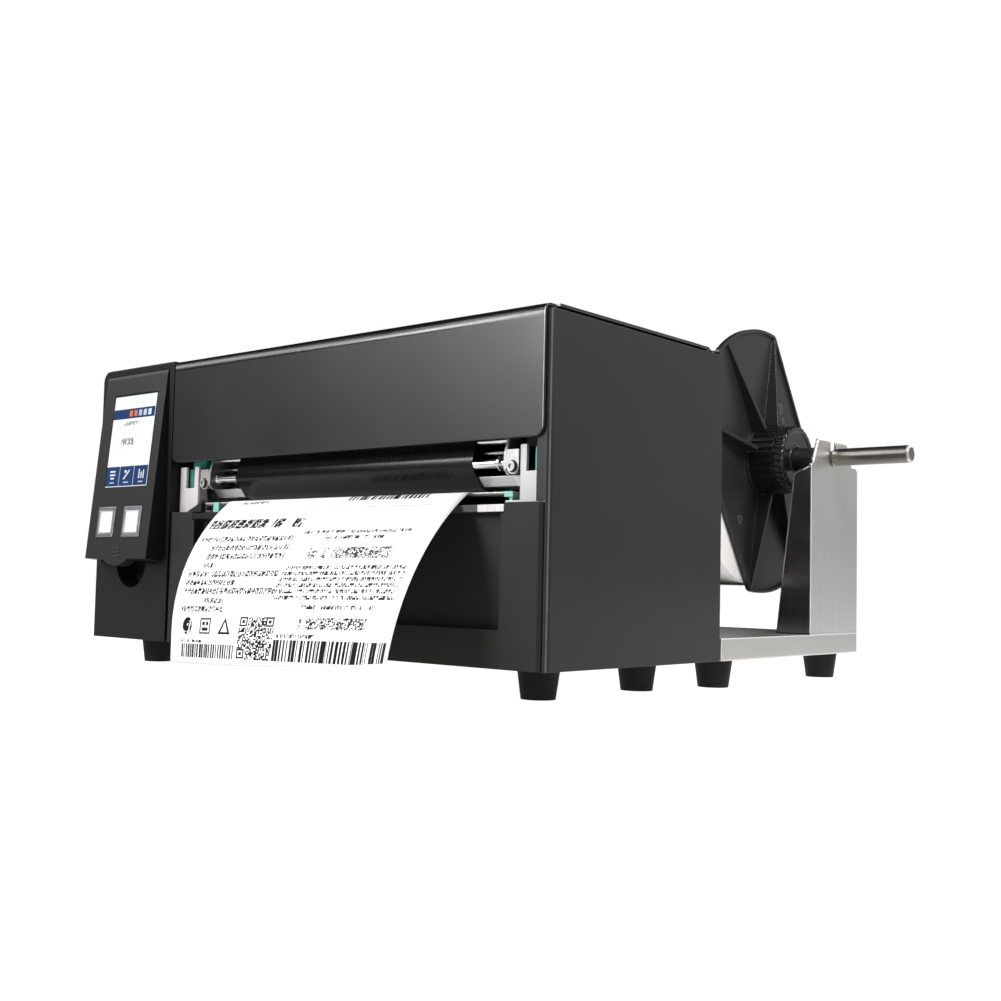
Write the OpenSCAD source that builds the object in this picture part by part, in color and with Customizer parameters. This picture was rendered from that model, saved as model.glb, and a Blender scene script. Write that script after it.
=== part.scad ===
// Wide industrial label printer with a roll stand behind it.
// x runs across the label from the middle of the print bay, y runs from the front plane to the back
// and z runs up from the table. place() then puts the reference point under the middle of the whole.

/* [Body] */
// Height of the body above its feet
body_h = 200; // [195:1:230]
// Depth of the body from the front plane to the rear face
body_d = 180; // [176:1:230]
// Width of the bay that the lid covers
bay_w = 339; // [330:1:380]
// Width of the control column beside the bay
column_w = 91; // [90:1:110]
// Visible strip of the side cover beside the lid
side_strip = 3; // [2.4:0.1:5]
// Thickness of the painted steel sheet
sheet_t = 1.6; // [1.2:0.1:2]
// Wall of the moulded plastic covers
wall_t = 3; // [2:0.1:4]
// Gap between fixed pieces that lie side by side
seam = 0.4; // [0.2:0.1:0.6]
// Gap between pieces that move past each other
run_gap = 0.3; // [0.25:0.05:0.5]
// Radial clearance of a pin or shaft in its bore
fit = 0.05; // [0.02:0.01:0.1]

/* [Front] */
// Height of the lower front cover above the underside
apron_h = 91.5; // [88:0.5:95]
// Height of the open label slot
slot_h = 35.5; // [34:0.5:40]
// Width of the shallow recess in the lower front cover
recess_w = 281; // [240:1:290]
// Height of the recess below the apron strip
recess_h = 65; // [40:1:75]
// Depth of the recess
recess_d = 7; // [4:0.5:9]
// Height of the silver apron strip
strip_h = 5; // [4:0.5:7]
// Drop of the apron strip below the ledge behind it
strip_drop = 1; // [0.8:0.1:1.5]
// Depth of the ledge on top of the lower cover
ledge_d = 20.5; // [18:0.5:21]
// Corner radius at the lower corners of the lid
lid_corner_r = 6; // [3:0.5:9]
// Outer bend radius between the lid's front and top
lid_bend_r = 5; // [3:0.5:8]

/* [Control panel] */
// Width of the tilting panel
panel_w = 78; // [74:1:79]
// Height of the tilting panel
panel_h = 140; // [130:1:145]
// Depth of the panel housing
panel_d = 13; // [11.5:0.5:14]
// Angle at which the panel stands out at rest
panel_open = 5.5; // [0:0.5:8]
// Width of the screen window
screen_w = 50; // [40:1:54]
// Height of the screen window
screen_h = 66; // [50:1:68]
// Outer width of a square key frame
key_frame_w = 22; // [19:0.5:24]
// Width of a white key
key_w = 16.5; // [12:0.5:17]
// Distance between the two keys
key_pitch = 33; // [28:0.5:36]
// Key travel
key_travel = 1; // [0.5:0.1:1.5]
// Radius of the finger scoop below the panel
scoop_r = 18.5; // [12:0.5:24]

/* [Label path] */
// Width of the label and of its roll
label_w = 220; // [180:1:224]
// Thickness of the label on its liner
label_t = 0.3; // [0.2:0.05:0.4]
// Radius of the platen roller
platen_r = 10; // [8:0.5:10.5]
// Distance of the platen axis behind the front plane
platen_y = 32; // [31.5:0.5:34]
// Radius of the platen shaft
platen_shaft_r = 4; // [3:0.5:5]
// Distance of the ribbon film's edge inside the label's edge
film_margin = 1; // [0.5:0.5:4]
// Radius of the lower ribbon rod
rod_r = 2.5; // [1.5:0.1:2.8]
// Radius of the upper ribbon rod
upper_rod_r = 2; // [1.5:0.1:2.4]
// Radius of the ribbon on its supply core
supply_r = 24; // [18:0.5:26]
// Radius of the used ribbon on its rewind core
rewind_r = 17; // [15.5:0.5:19]
// Slope of the label's left edge just after the tear plate
curl_start_left = 38; // [30:1:40]
// Slope of the label's right edge just after the tear plate
curl_start_right = 36; // [30:1:40]
// Slope of the label's left edge at its free end
curl_end_left = 90; // [80:1:92]
// Slope of the label's right edge at its free end
curl_end_right = 77.5; // [70:0.5:92]
// Radius of the curl along the left edge
curl_r_left = 110; // [100:1:115]
// Radius of the curl along the right edge
curl_r_right = 155; // [110:1:160]
// Straight end of the label's left edge
tail_left = 20.2; // [2:0.1:20.2]
// Straight end of the label's right edge
tail_right = 2.2; // [0.5:0.1:6]

/* [Drive] */
// Pitch radius of the platen pulley
platen_pulley_r = 9.5; // [8:0.5:10]
// Pitch radius of the motor pulley
motor_pulley_r = 5.5; // [5:0.5:7]
// Width of the drive belt
belt_w = 6; // [4:0.5:8]
// Thickness of the drive belt
belt_t = 1.4; // [1:0.1:2]
// Side of the square motor body
motor_w = 42; // [35:1:46]
// Length of the motor body
motor_l = 48; // [34:1:60]

/* [Roll stand] */
// Height of the stand's base tray
tray_h = 14.5; // [10:0.5:20]
// Depth of the base tray
tray_d = 198.5; // [196:0.5:230]
// Depth of an upright
upright_d = 76; // [60:1:90]
// Height of the roll shaft above the underside of the tray
shaft_h = 144.7; // [144:0.5:170]
// Thickness of the stainless sheet
steel_t = 2; // [1.5:0.1:3]
// Height of the ears above the shaft's axis
ear_h = 11.7; // [9:0.5:16]
// Width of an upright's front flange at its foot
flange_foot_w = 27; // [20:1:34]
// Width of an upright's front flange at its top
flange_top_w = 14; // [10:1:18]
// Distance of the shaft's axis behind the upright's front edge
shaft_in = 35.5; // [32:0.5:40]

/* [Roll] */
// Radius of the steel roll shaft
shaft_r = 6.35; // [5.5:0.05:7]
// Radius of the groove that sits in the upright's notch
neck_r = 4.5; // [3.5:0.1:5]
// Length of the shaft beyond the side of the body
shaft_out = 59.5; // [40:0.5:80]
// Radius of the label roll
roll_r = 96; // [60:1:98]
// Inner radius of the roll's core
core_r = 19; // [17:0.5:24]
// Thickness of the core
core_t = 1.6; // [1:0.1:3]
// Radius of the roll flange
disc_r = 101.5; // [95:0.5:108]
// Half width of the roll flange between its two straight edges
disc_half_w = 69; // [60:1:80]
// Lean of the flange's long axis, from the level towards the top
disc_lean = 123; // [90:1:150]
// Thickness of the flange plate
disc_t = 2.5; // [2:0.1:4]
// Height of the flange ribs beside the lock knob
rib_h = 12; // [6:0.5:14]
// Height of the hub under the lock knob
hub_h = 3; // [2:0.5:5]
// Radius of the flange's sleeve
sleeve_r = 8.3; // [7.8:0.1:10]
// Length of the sleeve outside the flange plate
sleeve_l = 48; // [42:1:52]
// Radius of the lock knob
knob_r = 26; // [20:0.5:32]
// Width of the lock knob
knob_w = 19; // [14:0.5:24]
// Number of grips round the lock knob
knob_grips = 28; // [16:1:40]

/* [Feet] */
// Height of the rubber feet
foot_h = 18; // [14:0.5:25]
// Radius of a foot at its top
foot_top_r = 12.5; // [10:0.5:14]
// Radius of a foot on the table
foot_low_r = 10; // [8:0.5:12]
// Distance of the front feet behind the front plane
foot_front = 36; // [36:1:50]
// Distance of the rear feet from the rear face
foot_back = 46; // [20:1:60]
// Distance of the printer's feet from its sides
foot_side = 32; // [20:1:50]

/* [Hidden] */
$fn = 48;

painted = [0.13, 0.13, 0.14];
moulded = [0.10, 0.10, 0.11];
stainless = [0.72, 0.71, 0.69];
bright = [0.82, 0.82, 0.84];
teal = [0.10, 0.52, 0.47];
paper = [0.96, 0.96, 0.95];
rubber = [0.05, 0.05, 0.05];

// Main planes of the body
z0 = foot_h;
z_top = z0 + body_h;
half_bay = bay_w / 2;
x_right = half_bay + side_strip;
x_col = -half_bay - 2.5 * seam;
x_left = x_col - column_w;
z_apron = z0 + apron_h;
z_slot = z_apron + slot_h;
plate_in = half_bay - 1.5 * seam;
plate_out = plate_in + sheet_t;

// Lid and its hinge
lid_back = body_d - 8.4;
hinge_y = lid_back - 3.6;
hinge_drop = 5.6;
hinge_z = z_top - hinge_drop;
hinge_r = 1.5;
barrel_r = 2.4 - seam;
hinge_l = 18;
cap_y = hinge_y + norm([lid_back - hinge_y, z_top - hinge_z]) + seam;

// Control panel
panel_x = (x_left + x_col) / 2;
panel_round = 5.2;
panel_proud = 1;
panel_axis_y = panel_round - panel_proud;
panel_axis_z = z_top - wall_t - panel_round;
panel_z0 = panel_axis_z + panel_round - panel_h;
panel_pin_r = 2;
panel_pin_l = 3;
panel_wall = 2;
pocket_gap = 2 * run_gap;
pocket_w = panel_w + 2 * pocket_gap;
pocket_d = panel_d + 2;
pocket_z0 = panel_z0 - 2 * pocket_gap;
bezel_d = 30;
column_r = 8;
screen_z = panel_axis_z + panel_round - 17.5 - screen_h;
key_z = panel_z0 + 27;
key_d = 5;
lip_w = 34;
lip_drop = 5;

// Platen, label path and print head
platen_z = z_apron - 3.3;
web_gap = run_gap;
web_z = platen_z + platen_r + web_gap + label_t / 2;
stand_gap = 2;
stand_y = body_d + stand_gap;
upright_y = stand_y + tray_d - upright_d;
roll_y = upright_y + shaft_in;
roll_z = z0 + shaft_h;
strip_lap = 2;
tear_t = 1.6;
tear_y = 9.7;
tear_half = plate_in - 27;
tear_back = 21.5;
film_w = label_w - 2 * film_margin;
film_t = 0.3;
film_z = web_z + label_t / 2 + run_gap + film_t / 2;
head_z = film_z + film_t / 2 + run_gap;
head_t = 2.6;
low_rod_y = 13;
low_rod_z = z_apron + 23;
upper_rod_y = 16;
upper_rod_z = z_slot + 1;
rod_half = plate_in - 34;
carrier_front = 16;
carrier_back = 46;
carrier_h = 5.4;
pivot_y = 118;
pivot_z = z_top - 78;
pivot_r = 4;
arm_x = rod_half + 6;
arm_t = 3;
supply_y = 72;
supply_z = z_top - 40;
rewind_y = 126;
rewind_z = z_top - 32;
spindle_r = 9;
spindle_pin_r = 4;
ribbon_core_r = 12.7;

// Guide bar at the rear entry
guide_r = 6;
guide_y = body_d - 24;
guide_z = roll_z - roll_r + guide_r;

// Head brackets and release levers
bracket_half = plate_in - 0.5 * seam;
bracket_w = 21;
bracket_y = 7.4;
bracket_t = 2;
bracket_z1 = z_slot - 3;
notch_x = bracket_half - 11.6;
notch_w = 10;
notch_z = z_apron + 17.5;
lever_w = 7;
lever_y = 16;
lever_z = z_apron + 7;
lever_pin_r = 2.5;
lever_front = bracket_y + 5.6;
lever_back = lever_y + 2.5;
tab_in = 9.9;
tab_out = 4.4;
tab_h = 5;
foot_reach = 10.4;
foot_t = 1.6;

// Drive
motor_y = 84;
motor_z = z0 + 42;
pulley_x = -plate_out - 2;

// Stand
z_tray = z0 + tray_h;
notch_gap = run_gap;

// Rear connectors
inlet_w = 27;
inlet_h = 20;
inlet_x = x_col - 62;
inlet_z = z0 + 34;
inlet_l = 19;
switch_x = inlet_x + 33;
switch_w = 13;
switch_h = 19;
switch_wall = 1.2;
inlet_wall = 2;
blade_t = 2;
blade_l = 13;
blade_pitch = 7;
housing_l = 14;
switch_pin_r = 1.5;
switch_pin_y = body_d - 2.5;
housing_w = switch_w + 2 * (run_gap + switch_wall);
housing_h = switch_h + 2 * (run_gap + switch_wall);
port_x = x_col - 66;
port_z = z0 + 92;
port_square = 12;
port_tall_w = 16;
port_tall_h = 13.5;
port_long_w = 31;
port_gap = 4.5;
port_wall = 1.4;
port_l = 18;

// Control board and power supply in the column
board_t = 1.6;
board_drop = port_tall_h / 2 + seam / 2;
board_l = 106;
board_gap = 2;
board_side = 14;
chip_w = 22;
chip_h = 8;
can_r = 4;
post_r = 2.5;
supply_box_w = 58;
supply_box_l = 92;
supply_box_h = 38;
supply_box_x = x_left + board_side + 4 * post_r;
supply_box_y = bezel_d + 12;

// The reference point lies on the table under the middle of the whole
lip_r = 6;
label_front = tear_y - lip_r * sin(curl_start_right)
    - curl_r_right * (sin(curl_end_right) - sin(curl_start_right))
    - tail_right * cos(curl_end_right);
disc_corner = acos(disc_half_w / disc_r);
disc_edge_r = 7;
disc_edge_c = [sqrt(pow(disc_r - disc_edge_r, 2) - pow(disc_half_w - disc_edge_r, 2)),
    disc_half_w - disc_edge_r];
disc_turn = atan2(disc_edge_c[1], disc_edge_c[0]);
disc_back = roll_y + max([for (p = lobe_points(0)) p[0] * cos(disc_lean) - p[1] * sin(disc_lean)]);
x_ref = (x_left + x_right + shaft_out) / 2;
y_ref = (label_front - label_t / 2 * sin(curl_end_right) + max(disc_back, stand_y + tray_d)) / 2;

module place() {
    translate([-x_ref, -y_ref, 0]) children();
}

module both_sides() {
    children();
    mirror([1, 0, 0]) children();
}

// A profile drawn in y and z, drawn out along x
module along_x(x, w) {
    translate([x, 0, 0]) rotate([90, 0, 90]) linear_extrude(w) children();
}

// A profile drawn in x and z, drawn out along y
module along_y(y, d) {
    translate([0, y + d, 0]) rotate([90, 0, 0]) linear_extrude(d) children();
}

module rod_x(x, y, z, r, l) {
    translate([x, y, z]) rotate([0, 90, 0]) cylinder(r = r, h = l);
}

module rod_y(x, y, z, r, l) {
    translate([x, y, z]) rotate([-90, 0, 0]) cylinder(r = r, h = l);
}

// Quarter of a sheet bend, in the quadrant of positive x and y
module bend(r, t) {
    intersection() {
        difference() {
            circle(r);
            circle(r - t);
        }
        square(r);
    }
}

// What is taken off a square corner to round it
module corner_cut(r) {
    difference() {
        translate([-1, -1]) square(r + 1);
        translate([r, r]) circle(r);
    }
}

// A row of slots, drawn in the plane of the panel
module slot_row(n, pitch, w, h) {
    for (i = [0 : n - 1])
        translate([(i - (n - 1) / 2) * pitch - w / 2, -h / 2]) square([w, h]);
}

// Points of an arc round c
function arc(c, r, a0, a1, n) = [for (i = [0 : n]) let (a = a0 + (a1 - a0) * i / n)
    [c[0] + r * cos(a), c[1] + r * sin(a)]];

// Unit normal of a path at point i
function path_normal(p, i) = let (a = p[max(i - 1, 0)], b = p[min(i + 1, len(p) - 1)],
    d = b - a) [-d[1], d[0]] / norm(d);

// Closed outline of a thin strip along a path
function strip_outline(p, t) = concat(
    [for (i = [0 : len(p) - 1]) p[i] + path_normal(p, i) * t / 2],
    [for (i = [len(p) - 1 : -1 : 0]) p[i] - path_normal(p, i) * t / 2]);

// Outline of the roll flange, long axis along x
function lobe_points(inset) = let (quarter = concat(arc([0, 0], disc_r - inset, 0, disc_turn, 12),
    arc(disc_edge_c, disc_edge_r - inset, disc_turn, 90, 5)), n = len(quarter) - 1,
    half = concat(quarter, [for (i = [n : -1 : 0]) [-quarter[i][0], quarter[i][1]]]))
    concat(half, [for (i = [2 * n : -1 : 1]) [half[i][0], -half[i][1]]]);

// Outline of a belt or strap round two circles
function loop_outline(a, ra, b, rb) = let (d = b - a, turn = atan2(d[1], d[0]),
    s = acos((ra - rb) / norm(d))) concat(arc(a, ra, turn + s, turn + 360 - s, 24),
    arc(b, rb, turn - s, turn + s, 24));

// Path of the label from the roll, under the guide bar, over the platen and the tear edge, to its
// free end; f runs from 0 at the left edge to 1 at the right edge, because the free end hangs askew
platen_c = [platen_y, platen_z];
guide_c = [guide_y, guide_z];
web_platen_r = web_z - platen_z;
web_guide_r = guide_r + web_gap + label_t / 2;
web_roll_r = roll_r + web_gap + label_t / 2;
front_d = guide_c - platen_c;
front_slope = atan2(front_d[1], front_d[0]) - asin((web_platen_r + web_guide_r) / norm(front_d));
back_d = [roll_y, roll_z] - guide_c;
back_slope = atan2(back_d[1], back_d[0]) - asin((web_roll_r - web_guide_r) / norm(back_d));

function blend(a, b, f) = a + (b - a) * f;

function web_path(f) = let (start = blend(curl_start_left, curl_start_right, f),
    end = blend(curl_end_left, curl_end_right, f), r = blend(curl_r_left, curl_r_right, f),
    tail = blend(tail_left, tail_right, f), lip = [tear_y, web_z - lip_r],
    c = lip + (lip_r - r) * [-sin(start), cos(start)])
    concat([[roll_y, roll_z] + web_roll_r * [sin(back_slope), -cos(back_slope)]],
        arc(guide_c, web_guide_r, back_slope - 90, front_slope - 90, 4),
        arc(platen_c, web_platen_r, 90 + front_slope, 90, 4),
        arc(lip, lip_r, 90, 90 + start, 4),
        [for (i = [1 : 14]) c + r * [-sin(blend(start, end, i / 14)), cos(blend(start, end, i / 14))]],
        [c + r * [-sin(end), cos(end)] - tail * [cos(end), sin(end)]]);

// Path of the ribbon from the supply, round the two rods and the head, to the rewind
rod_off = rod_r + run_gap + film_t / 2;
upper_off = upper_rod_r + run_gap + film_t / 2;
film_nose = [carrier_front + 3.4, head_z + 2];
supply_off = supply_r + 2 * run_gap + film_t / 2;
rewind_off = rewind_r + run_gap + film_t / 2;
upper_c = [upper_rod_y, upper_rod_z];
supply_turn = atan2(supply_z - upper_rod_z, supply_y - upper_rod_y)
    + asin((supply_off - upper_off) / norm([supply_y, supply_z] - upper_c));
film_tail = [carrier_back + 2.5, film_z];
rewind_d = [rewind_y, rewind_z] - film_tail;
rewind_turn = atan2(rewind_d[1], rewind_d[0]) - asin(rewind_off / norm(rewind_d));
film_path = concat([[supply_y, supply_z] + supply_off * [-sin(supply_turn), cos(supply_turn)]],
    arc(upper_c, upper_off, 90 + supply_turn, 190, 3),
    arc([low_rod_y, low_rod_z], rod_off, 176, 212, 4),
    [film_nose, [platen_y - 5.5, film_z], film_tail],
    [[rewind_y, rewind_z] + rewind_off * [sin(rewind_turn), -cos(rewind_turn)]]);

// Folded steel tray that carries the frame plates and the feet
module base_pan() {
    pan_x0 = x_left + sheet_t + seam;
    pan_w = x_right - sheet_t - seam - pan_x0;
    pan_y0 = ledge_d + wall_t + seam;
    pan_d = body_d - sheet_t - seam - pan_y0;
    lip = 9;
    vent_l = 40;
    vent_y = body_d - foot_back - foot_top_r - vent_l / 2;
    color(painted) difference() {
        translate([pan_x0, pan_y0, z0]) cube([pan_w, pan_d, lip]);
        translate([pan_x0 + sheet_t, pan_y0 + sheet_t, z0 + sheet_t])
            cube([pan_w, pan_d - 2 * sheet_t, lip]);
        translate([0, vent_y, z0 - 1]) linear_extrude(sheet_t + 2) slot_row(11, 24, 6, vent_l);
        foot_places() translate([0, 0, -1]) cylinder(r = 2.2, h = sheet_t + 2);
        translate([pan_x0 - 1, pan_y0 - 1, z0 - 1])
            cube([x_col + seam + 1 - pan_x0, bezel_d + seam + 1 - pan_y0, lip + 2]);
    }
}

module foot_places() {
    for (y = [foot_front, body_d - foot_back])
        for (x = [x_left + foot_side, x_right - foot_side])
            translate([x, y, z0]) children();
}

// Side wall with a front return behind the lid and a rear return
module right_side_cover() {
    front = sheet_t + 1.5 * seam;
    r = 3;
    turn_in = 9;
    wall_z1 = z_top - sheet_t - 4 * seam;
    color(painted) difference() {
        translate([0, 0, z0]) linear_extrude(wall_z1 - z0) {
            translate([x_right - sheet_t, front + r]) square([sheet_t, body_d - front - r]);
            translate([x_right - r, front + r]) rotate(-90) bend(r, sheet_t);
            translate([x_right - turn_in, front]) square([turn_in - r, sheet_t]);
            translate([x_right - sheet_t - 8, body_d - sheet_t]) square([9, sheet_t]);
        }
        translate([x_right - 20, -1, z0 - 1])
            cube([20 - sheet_t - 3 * seam, ledge_d, z_apron - z0 + 1 + seam]);
    }
}

// Bent sheet over the electronics beside the bay
module left_cover() {
    y0 = bezel_d + seam;
    d = body_d - y0;
    vent_h = 50;
    turn_down = 10;
    color(painted) difference() {
        union() {
            along_y(y0, d) {
                translate([x_left, z0]) square([sheet_t, body_h - column_r]);
                translate([x_left + column_r, z_top - column_r]) rotate(90) bend(column_r, sheet_t);
                translate([x_left + column_r, z_top - sheet_t])
                    square([column_w - column_r, sheet_t]);
            }
            translate([x_col - sheet_t, y0, z_top - turn_down])
                cube([sheet_t, d - sheet_t - seam, turn_down]);
        }
        for (i = [0 : 6])
            translate([x_left - 1, body_d - 46 - i * 12, z_top - 40 - vent_h])
                cube([sheet_t + 2, 4, vent_h]);
    }
}

// Rear sheet with the media entry, vents and the connector cut-outs
module rear_panel() {
    x0 = x_left + sheet_t + seam;
    w = x_right - sheet_t - 8 - 2 * seam - x0;
    z1 = z_top - sheet_t - seam;
    slot_z = web_height(body_d);
    color(painted) difference() {
        union() {
            translate([x0, body_d - sheet_t, z0]) cube([w, sheet_t, z1 - z0]);
            translate([x_col + seam, cap_y, z_top - sheet_t])
                cube([x_right - x_col - seam, body_d - cap_y, sheet_t]);
            translate([x_col + seam, body_d - sheet_t, z_top - 2 * sheet_t])
                cube([x_right - sheet_t - 8 - 2 * seam - x_col - seam, sheet_t, 2 * sheet_t]);
        }
        translate([-label_w / 2 - 8, body_d - sheet_t - 1, slot_z - 8])
            cube([label_w + 16, sheet_t + 2, 16]);
        along_y(body_d - sheet_t - 1, sheet_t + 2) {
            translate([0, slot_z + 60]) slot_row(15, 16, 5, 40);
            translate([inlet_x, inlet_z]) square([inlet_w + 2 * seam, inlet_h + 2 * seam],
                center = true);
            translate([switch_x, inlet_z]) square([housing_w + 2 * seam, housing_h + 2 * seam],
                center = true);
            port_outlines(seam);
            translate([x0, z1]) mirror([0, 1]) corner_cut(column_r - sheet_t - seam);
        }
    }
}

// Height of the label where it passes a plane behind the guide bar
function web_height(y) = guide_z - web_guide_r / cos(back_slope) + (y - guide_y) * tan(back_slope);

// Square, tall and long connector outlines at the back
module port_outlines(grow) {
    x2 = (port_square + port_tall_w) / 2 + port_gap;
    x3 = x2 + (port_tall_w + port_long_w) / 2 + port_gap;
    for (p = [[0, port_square, port_square], [x2, port_tall_w, port_tall_h],
        [x3, port_long_w, port_square]])
        translate([port_x + p[0], port_z]) square([p[1] + 2 * grow, p[2] + 2 * grow], center = true);
}

// Moulded lower front with its shallow recess and the ledge under the brackets
module front_lower_cover() {
    w = half_bay - seam;
    d = ledge_d + wall_t;
    recess_z1 = z_apron - strip_h;
    strip_w = recess_w + 2 * (strip_lap + seam);
    cover_edge_r = 2.5;
    horn_x = -recess_w / 2 - 13.5;
    horn_w = 16;
    horn_h = 6.6;
    horn_y = 3.6;
    color(moulded) along_y(horn_y, bracket_y - seam - horn_y) polygon([[horn_x, z_apron - 1],
        [-strip_w / 2 - seam, z_apron - 1], [-strip_w / 2 - seam, z_apron],
        [horn_x + horn_w, z_apron], [horn_x + horn_w, z_apron + horn_h],
        [horn_x + horn_w - 1.2, z_apron + horn_h], [horn_x, z_apron + 0.6]]);
    color(moulded) difference() {
        union() {
            difference() {
                translate([-w, 0, z0]) cube([2 * w, d, apron_h]);
                translate([-w + wall_t, wall_t, z0 - 1])
                    cube([2 * (w - wall_t), d, apron_h + 1 - wall_t]);
            }
            translate([-recess_w / 2 - wall_t, 0, recess_z1 - recess_h - wall_t])
                cube([recess_w + 2 * wall_t, recess_d + wall_t, recess_h + wall_t + strip_h]);
        }
        translate([-recess_w / 2, -1, recess_z1 - recess_h])
            cube([recess_w, recess_d + 1, recess_h]);
        translate([-strip_w / 2, -1, recess_z1 - 1]) cube([strip_w, sheet_t + 1 + seam, strip_h + 2]);
        translate([-strip_w / 2, -1, z_apron - strip_drop - sheet_t - seam])
            cube([strip_w, tear_y + seam, strip_h]);
        translate([-w - 1, ledge_d, z_apron - wall_t - 1]) cube([2 * w + 2, d, wall_t + 2]);
        both_sides() translate([w, 0, z0 - 1]) rotate([0, 0, 90])
            linear_extrude(apron_h + 2) corner_cut(cover_edge_r);
    }
}

// Moulded front of the control column, with the pocket that the panel tilts out of
module column_bezel() {
    color(moulded) difference() {
        along_y(0, bezel_d) column_outline(0);
        difference() {
            translate([0, wall_t, 0]) along_y(0, bezel_d) column_outline(wall_t);
            translate([panel_x - pocket_w / 2 - wall_t, 0, pocket_z0 - scoop_r - wall_t])
                cube([pocket_w + 2 * wall_t, pocket_d + wall_t, body_h]);
        }
        translate([panel_x - pocket_w / 2, -1, pocket_z0])
            cube([pocket_w, pocket_d + 1, panel_axis_z + panel_round + run_gap - pocket_z0]);
        rod_y(panel_x, -1, pocket_z0, scoop_r, pocket_d + 1);
        rod_x(panel_x - pocket_w / 2 - panel_pin_l - 1, panel_axis_y, panel_axis_z,
            panel_pin_r + fit, pocket_w + 2 * panel_pin_l + 2);
        translate([x_col - wall_t - 1, pocket_d + wall_t, z0 - 1])
            cube([wall_t + 2, bezel_d, body_h - wall_t]);
    }
}

module column_outline(inset) {
    r = column_r - inset;
    translate([x_left + inset, z0 + inset]) {
        w = column_w - 2 * inset;
        h = body_h - 2 * inset;
        square([w, h - r]);
        translate([r, 0]) square([w - r, h]);
        translate([r, h - r]) circle(r);
    }
}

// Steel side plate of the mechanism, on the right as drawn
module frame_plate() {
    y0 = ledge_d + wall_t + seam;
    floor_z = z0 + sheet_t;
    back = body_d - sheet_t - 10;
    window_y = motor_y + motor_w / 2 + 6;
    window_w = back - window_y - 12;
    boss_y = hinge_y + 3.2;
    boss_z = hinge_z + 2.7;
    union() {
        rod_x(notch_x - lever_w / 2 - 1, lever_y, lever_z, lever_pin_r,
            plate_in + sheet_t / 2 - notch_x + lever_w / 2 + 1);
        along_x(plate_in, sheet_t) difference() {
            polygon([[y0 + sheet_t + seam, floor_z], [back, floor_z], [back, hinge_z - 10],
                [boss_y, hinge_z - 5], [boss_y, hinge_z + 1], [boss_y - 1.2, boss_z],
                [hinge_y - 12, boss_z], [supply_y - 40, z_top - 9], [y0 + 8, z_slot + 6], [y0, z_slot],
                [bracket_y + 4, z_slot - 6], [bracket_y + 4, z_apron + seam],
                [y0, z_apron + seam]]);
            translate([platen_y, platen_z]) circle(platen_shaft_r + 3);
            translate([pivot_y, pivot_z]) circle(pivot_r);
            translate([hinge_y, hinge_z]) circle(hinge_r);
            translate([supply_y, supply_z]) circle(spindle_pin_r + fit);
            translate([rewind_y, rewind_z]) circle(spindle_pin_r + fit);
            translate([window_y, z0 + 14]) square([window_w, 24]);
        }
    }
}

module right_frame_plate() {
    color(stainless) frame_plate();
}

module left_frame_plate() {
    color(stainless) difference() {
        mirror([1, 0, 0]) frame_plate();
        rod_x(-plate_out - 1, motor_y, motor_z, 11.2, sheet_t + 2);
    }
}

// Silver bracket at the end of the slot, on the right as drawn
module head_bracket() {
    x0 = bracket_half - bracket_w;
    difference() {
        union() {
            translate([x0, bracket_y, z_apron]) cube([bracket_w, bracket_t, bracket_z1 - z_apron]);
            translate([x0 - foot_reach, bracket_y, z_apron]) cube([bracket_w + foot_reach, 13, foot_t]);
            translate([bracket_half - bracket_t, bracket_y, z_apron])
                cube([bracket_t, 3.4, bracket_z1 - z_apron]);
        }
        translate([notch_x - notch_w / 2, bracket_y - 1, notch_z])
            cube([notch_w, bracket_t + 2, bracket_z1]);
    }
}

module bracket_right() {
    color(bright) head_bracket();
}

module bracket_left() {
    color(bright) mirror([1, 0, 0]) head_bracket();
}

// Thin steel plate with the straight edge that the label is torn against
module tear_plate() {
    z1 = web_z - label_t / 2 - run_gap;
    color(bright) along_x(-tear_half, 2 * tear_half)
        polygon([[tear_y, z1], [tear_y, z1 - 0.6], [tear_y + 1.5, z1 - tear_t],
            [tear_back, z1 - tear_t], [tear_back, z1]]);
}

// Silver strip along the top of the recess
module apron_strip() {
    w = recess_w / 2 + strip_lap;
    z1 = z_apron - strip_drop;
    back = tear_y - 1.5;
    color(bright) along_x(-w, 2 * w)
        polygon([[0, z_apron - strip_h], [sheet_t, z_apron - strip_h], [sheet_t, z1 - sheet_t],
            [back, z1 - sheet_t], [back, z1], [0, z1]]);
}

// Clips that hold the ends of the tear plate: a tall one on the left, one on a thin leg on the right
module plate_clips() {
    z1 = web_z - label_t / 2 - run_gap - tear_t;
    clip_w = 6.2;
    head = 1.4;
    lip = 1 - 0.5 * run_gap;
    color(teal) {
        translate([tear_half - clip_w - seam, tear_y - 1, z1 - head]) {
            cube([clip_w, 10, head]);
            cube([clip_w, lip, head + tear_t + 0.1]);
            translate([clip_w / 2, lip, z_apron + foot_t - z1 + head])
                cube([2, 8, z1 - head / 2 - z_apron - foot_t]);
        }
        translate([11 - tear_half, tear_y - 1, z_apron]) {
            cube([clip_w, 10, z1 - z_apron]);
            cube([clip_w, lip, z1 - z_apron + tear_t + 0.1]);
        }
    }
}

module hinge_pins() {
    color(bright) both_sides() {
        rod_x(plate_in - hinge_l - 2, hinge_y, hinge_z, hinge_r, hinge_l + 2 + sheet_t);
    }
}

module head_pivot_shaft() {
    color(bright) rod_x(-plate_out, pivot_y, pivot_z, pivot_r, 2 * plate_out);
}

// Bar that the label passes under on its way in from the rear entry
module media_guide_bar() {
    color(bright) difference() {
        rod_x(-plate_in, guide_y, guide_z, guide_r, 2 * plate_in);
        both_sides() rod_x(plate_in - 8, guide_y, guide_z, 2.5, 10);
    }
}

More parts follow.
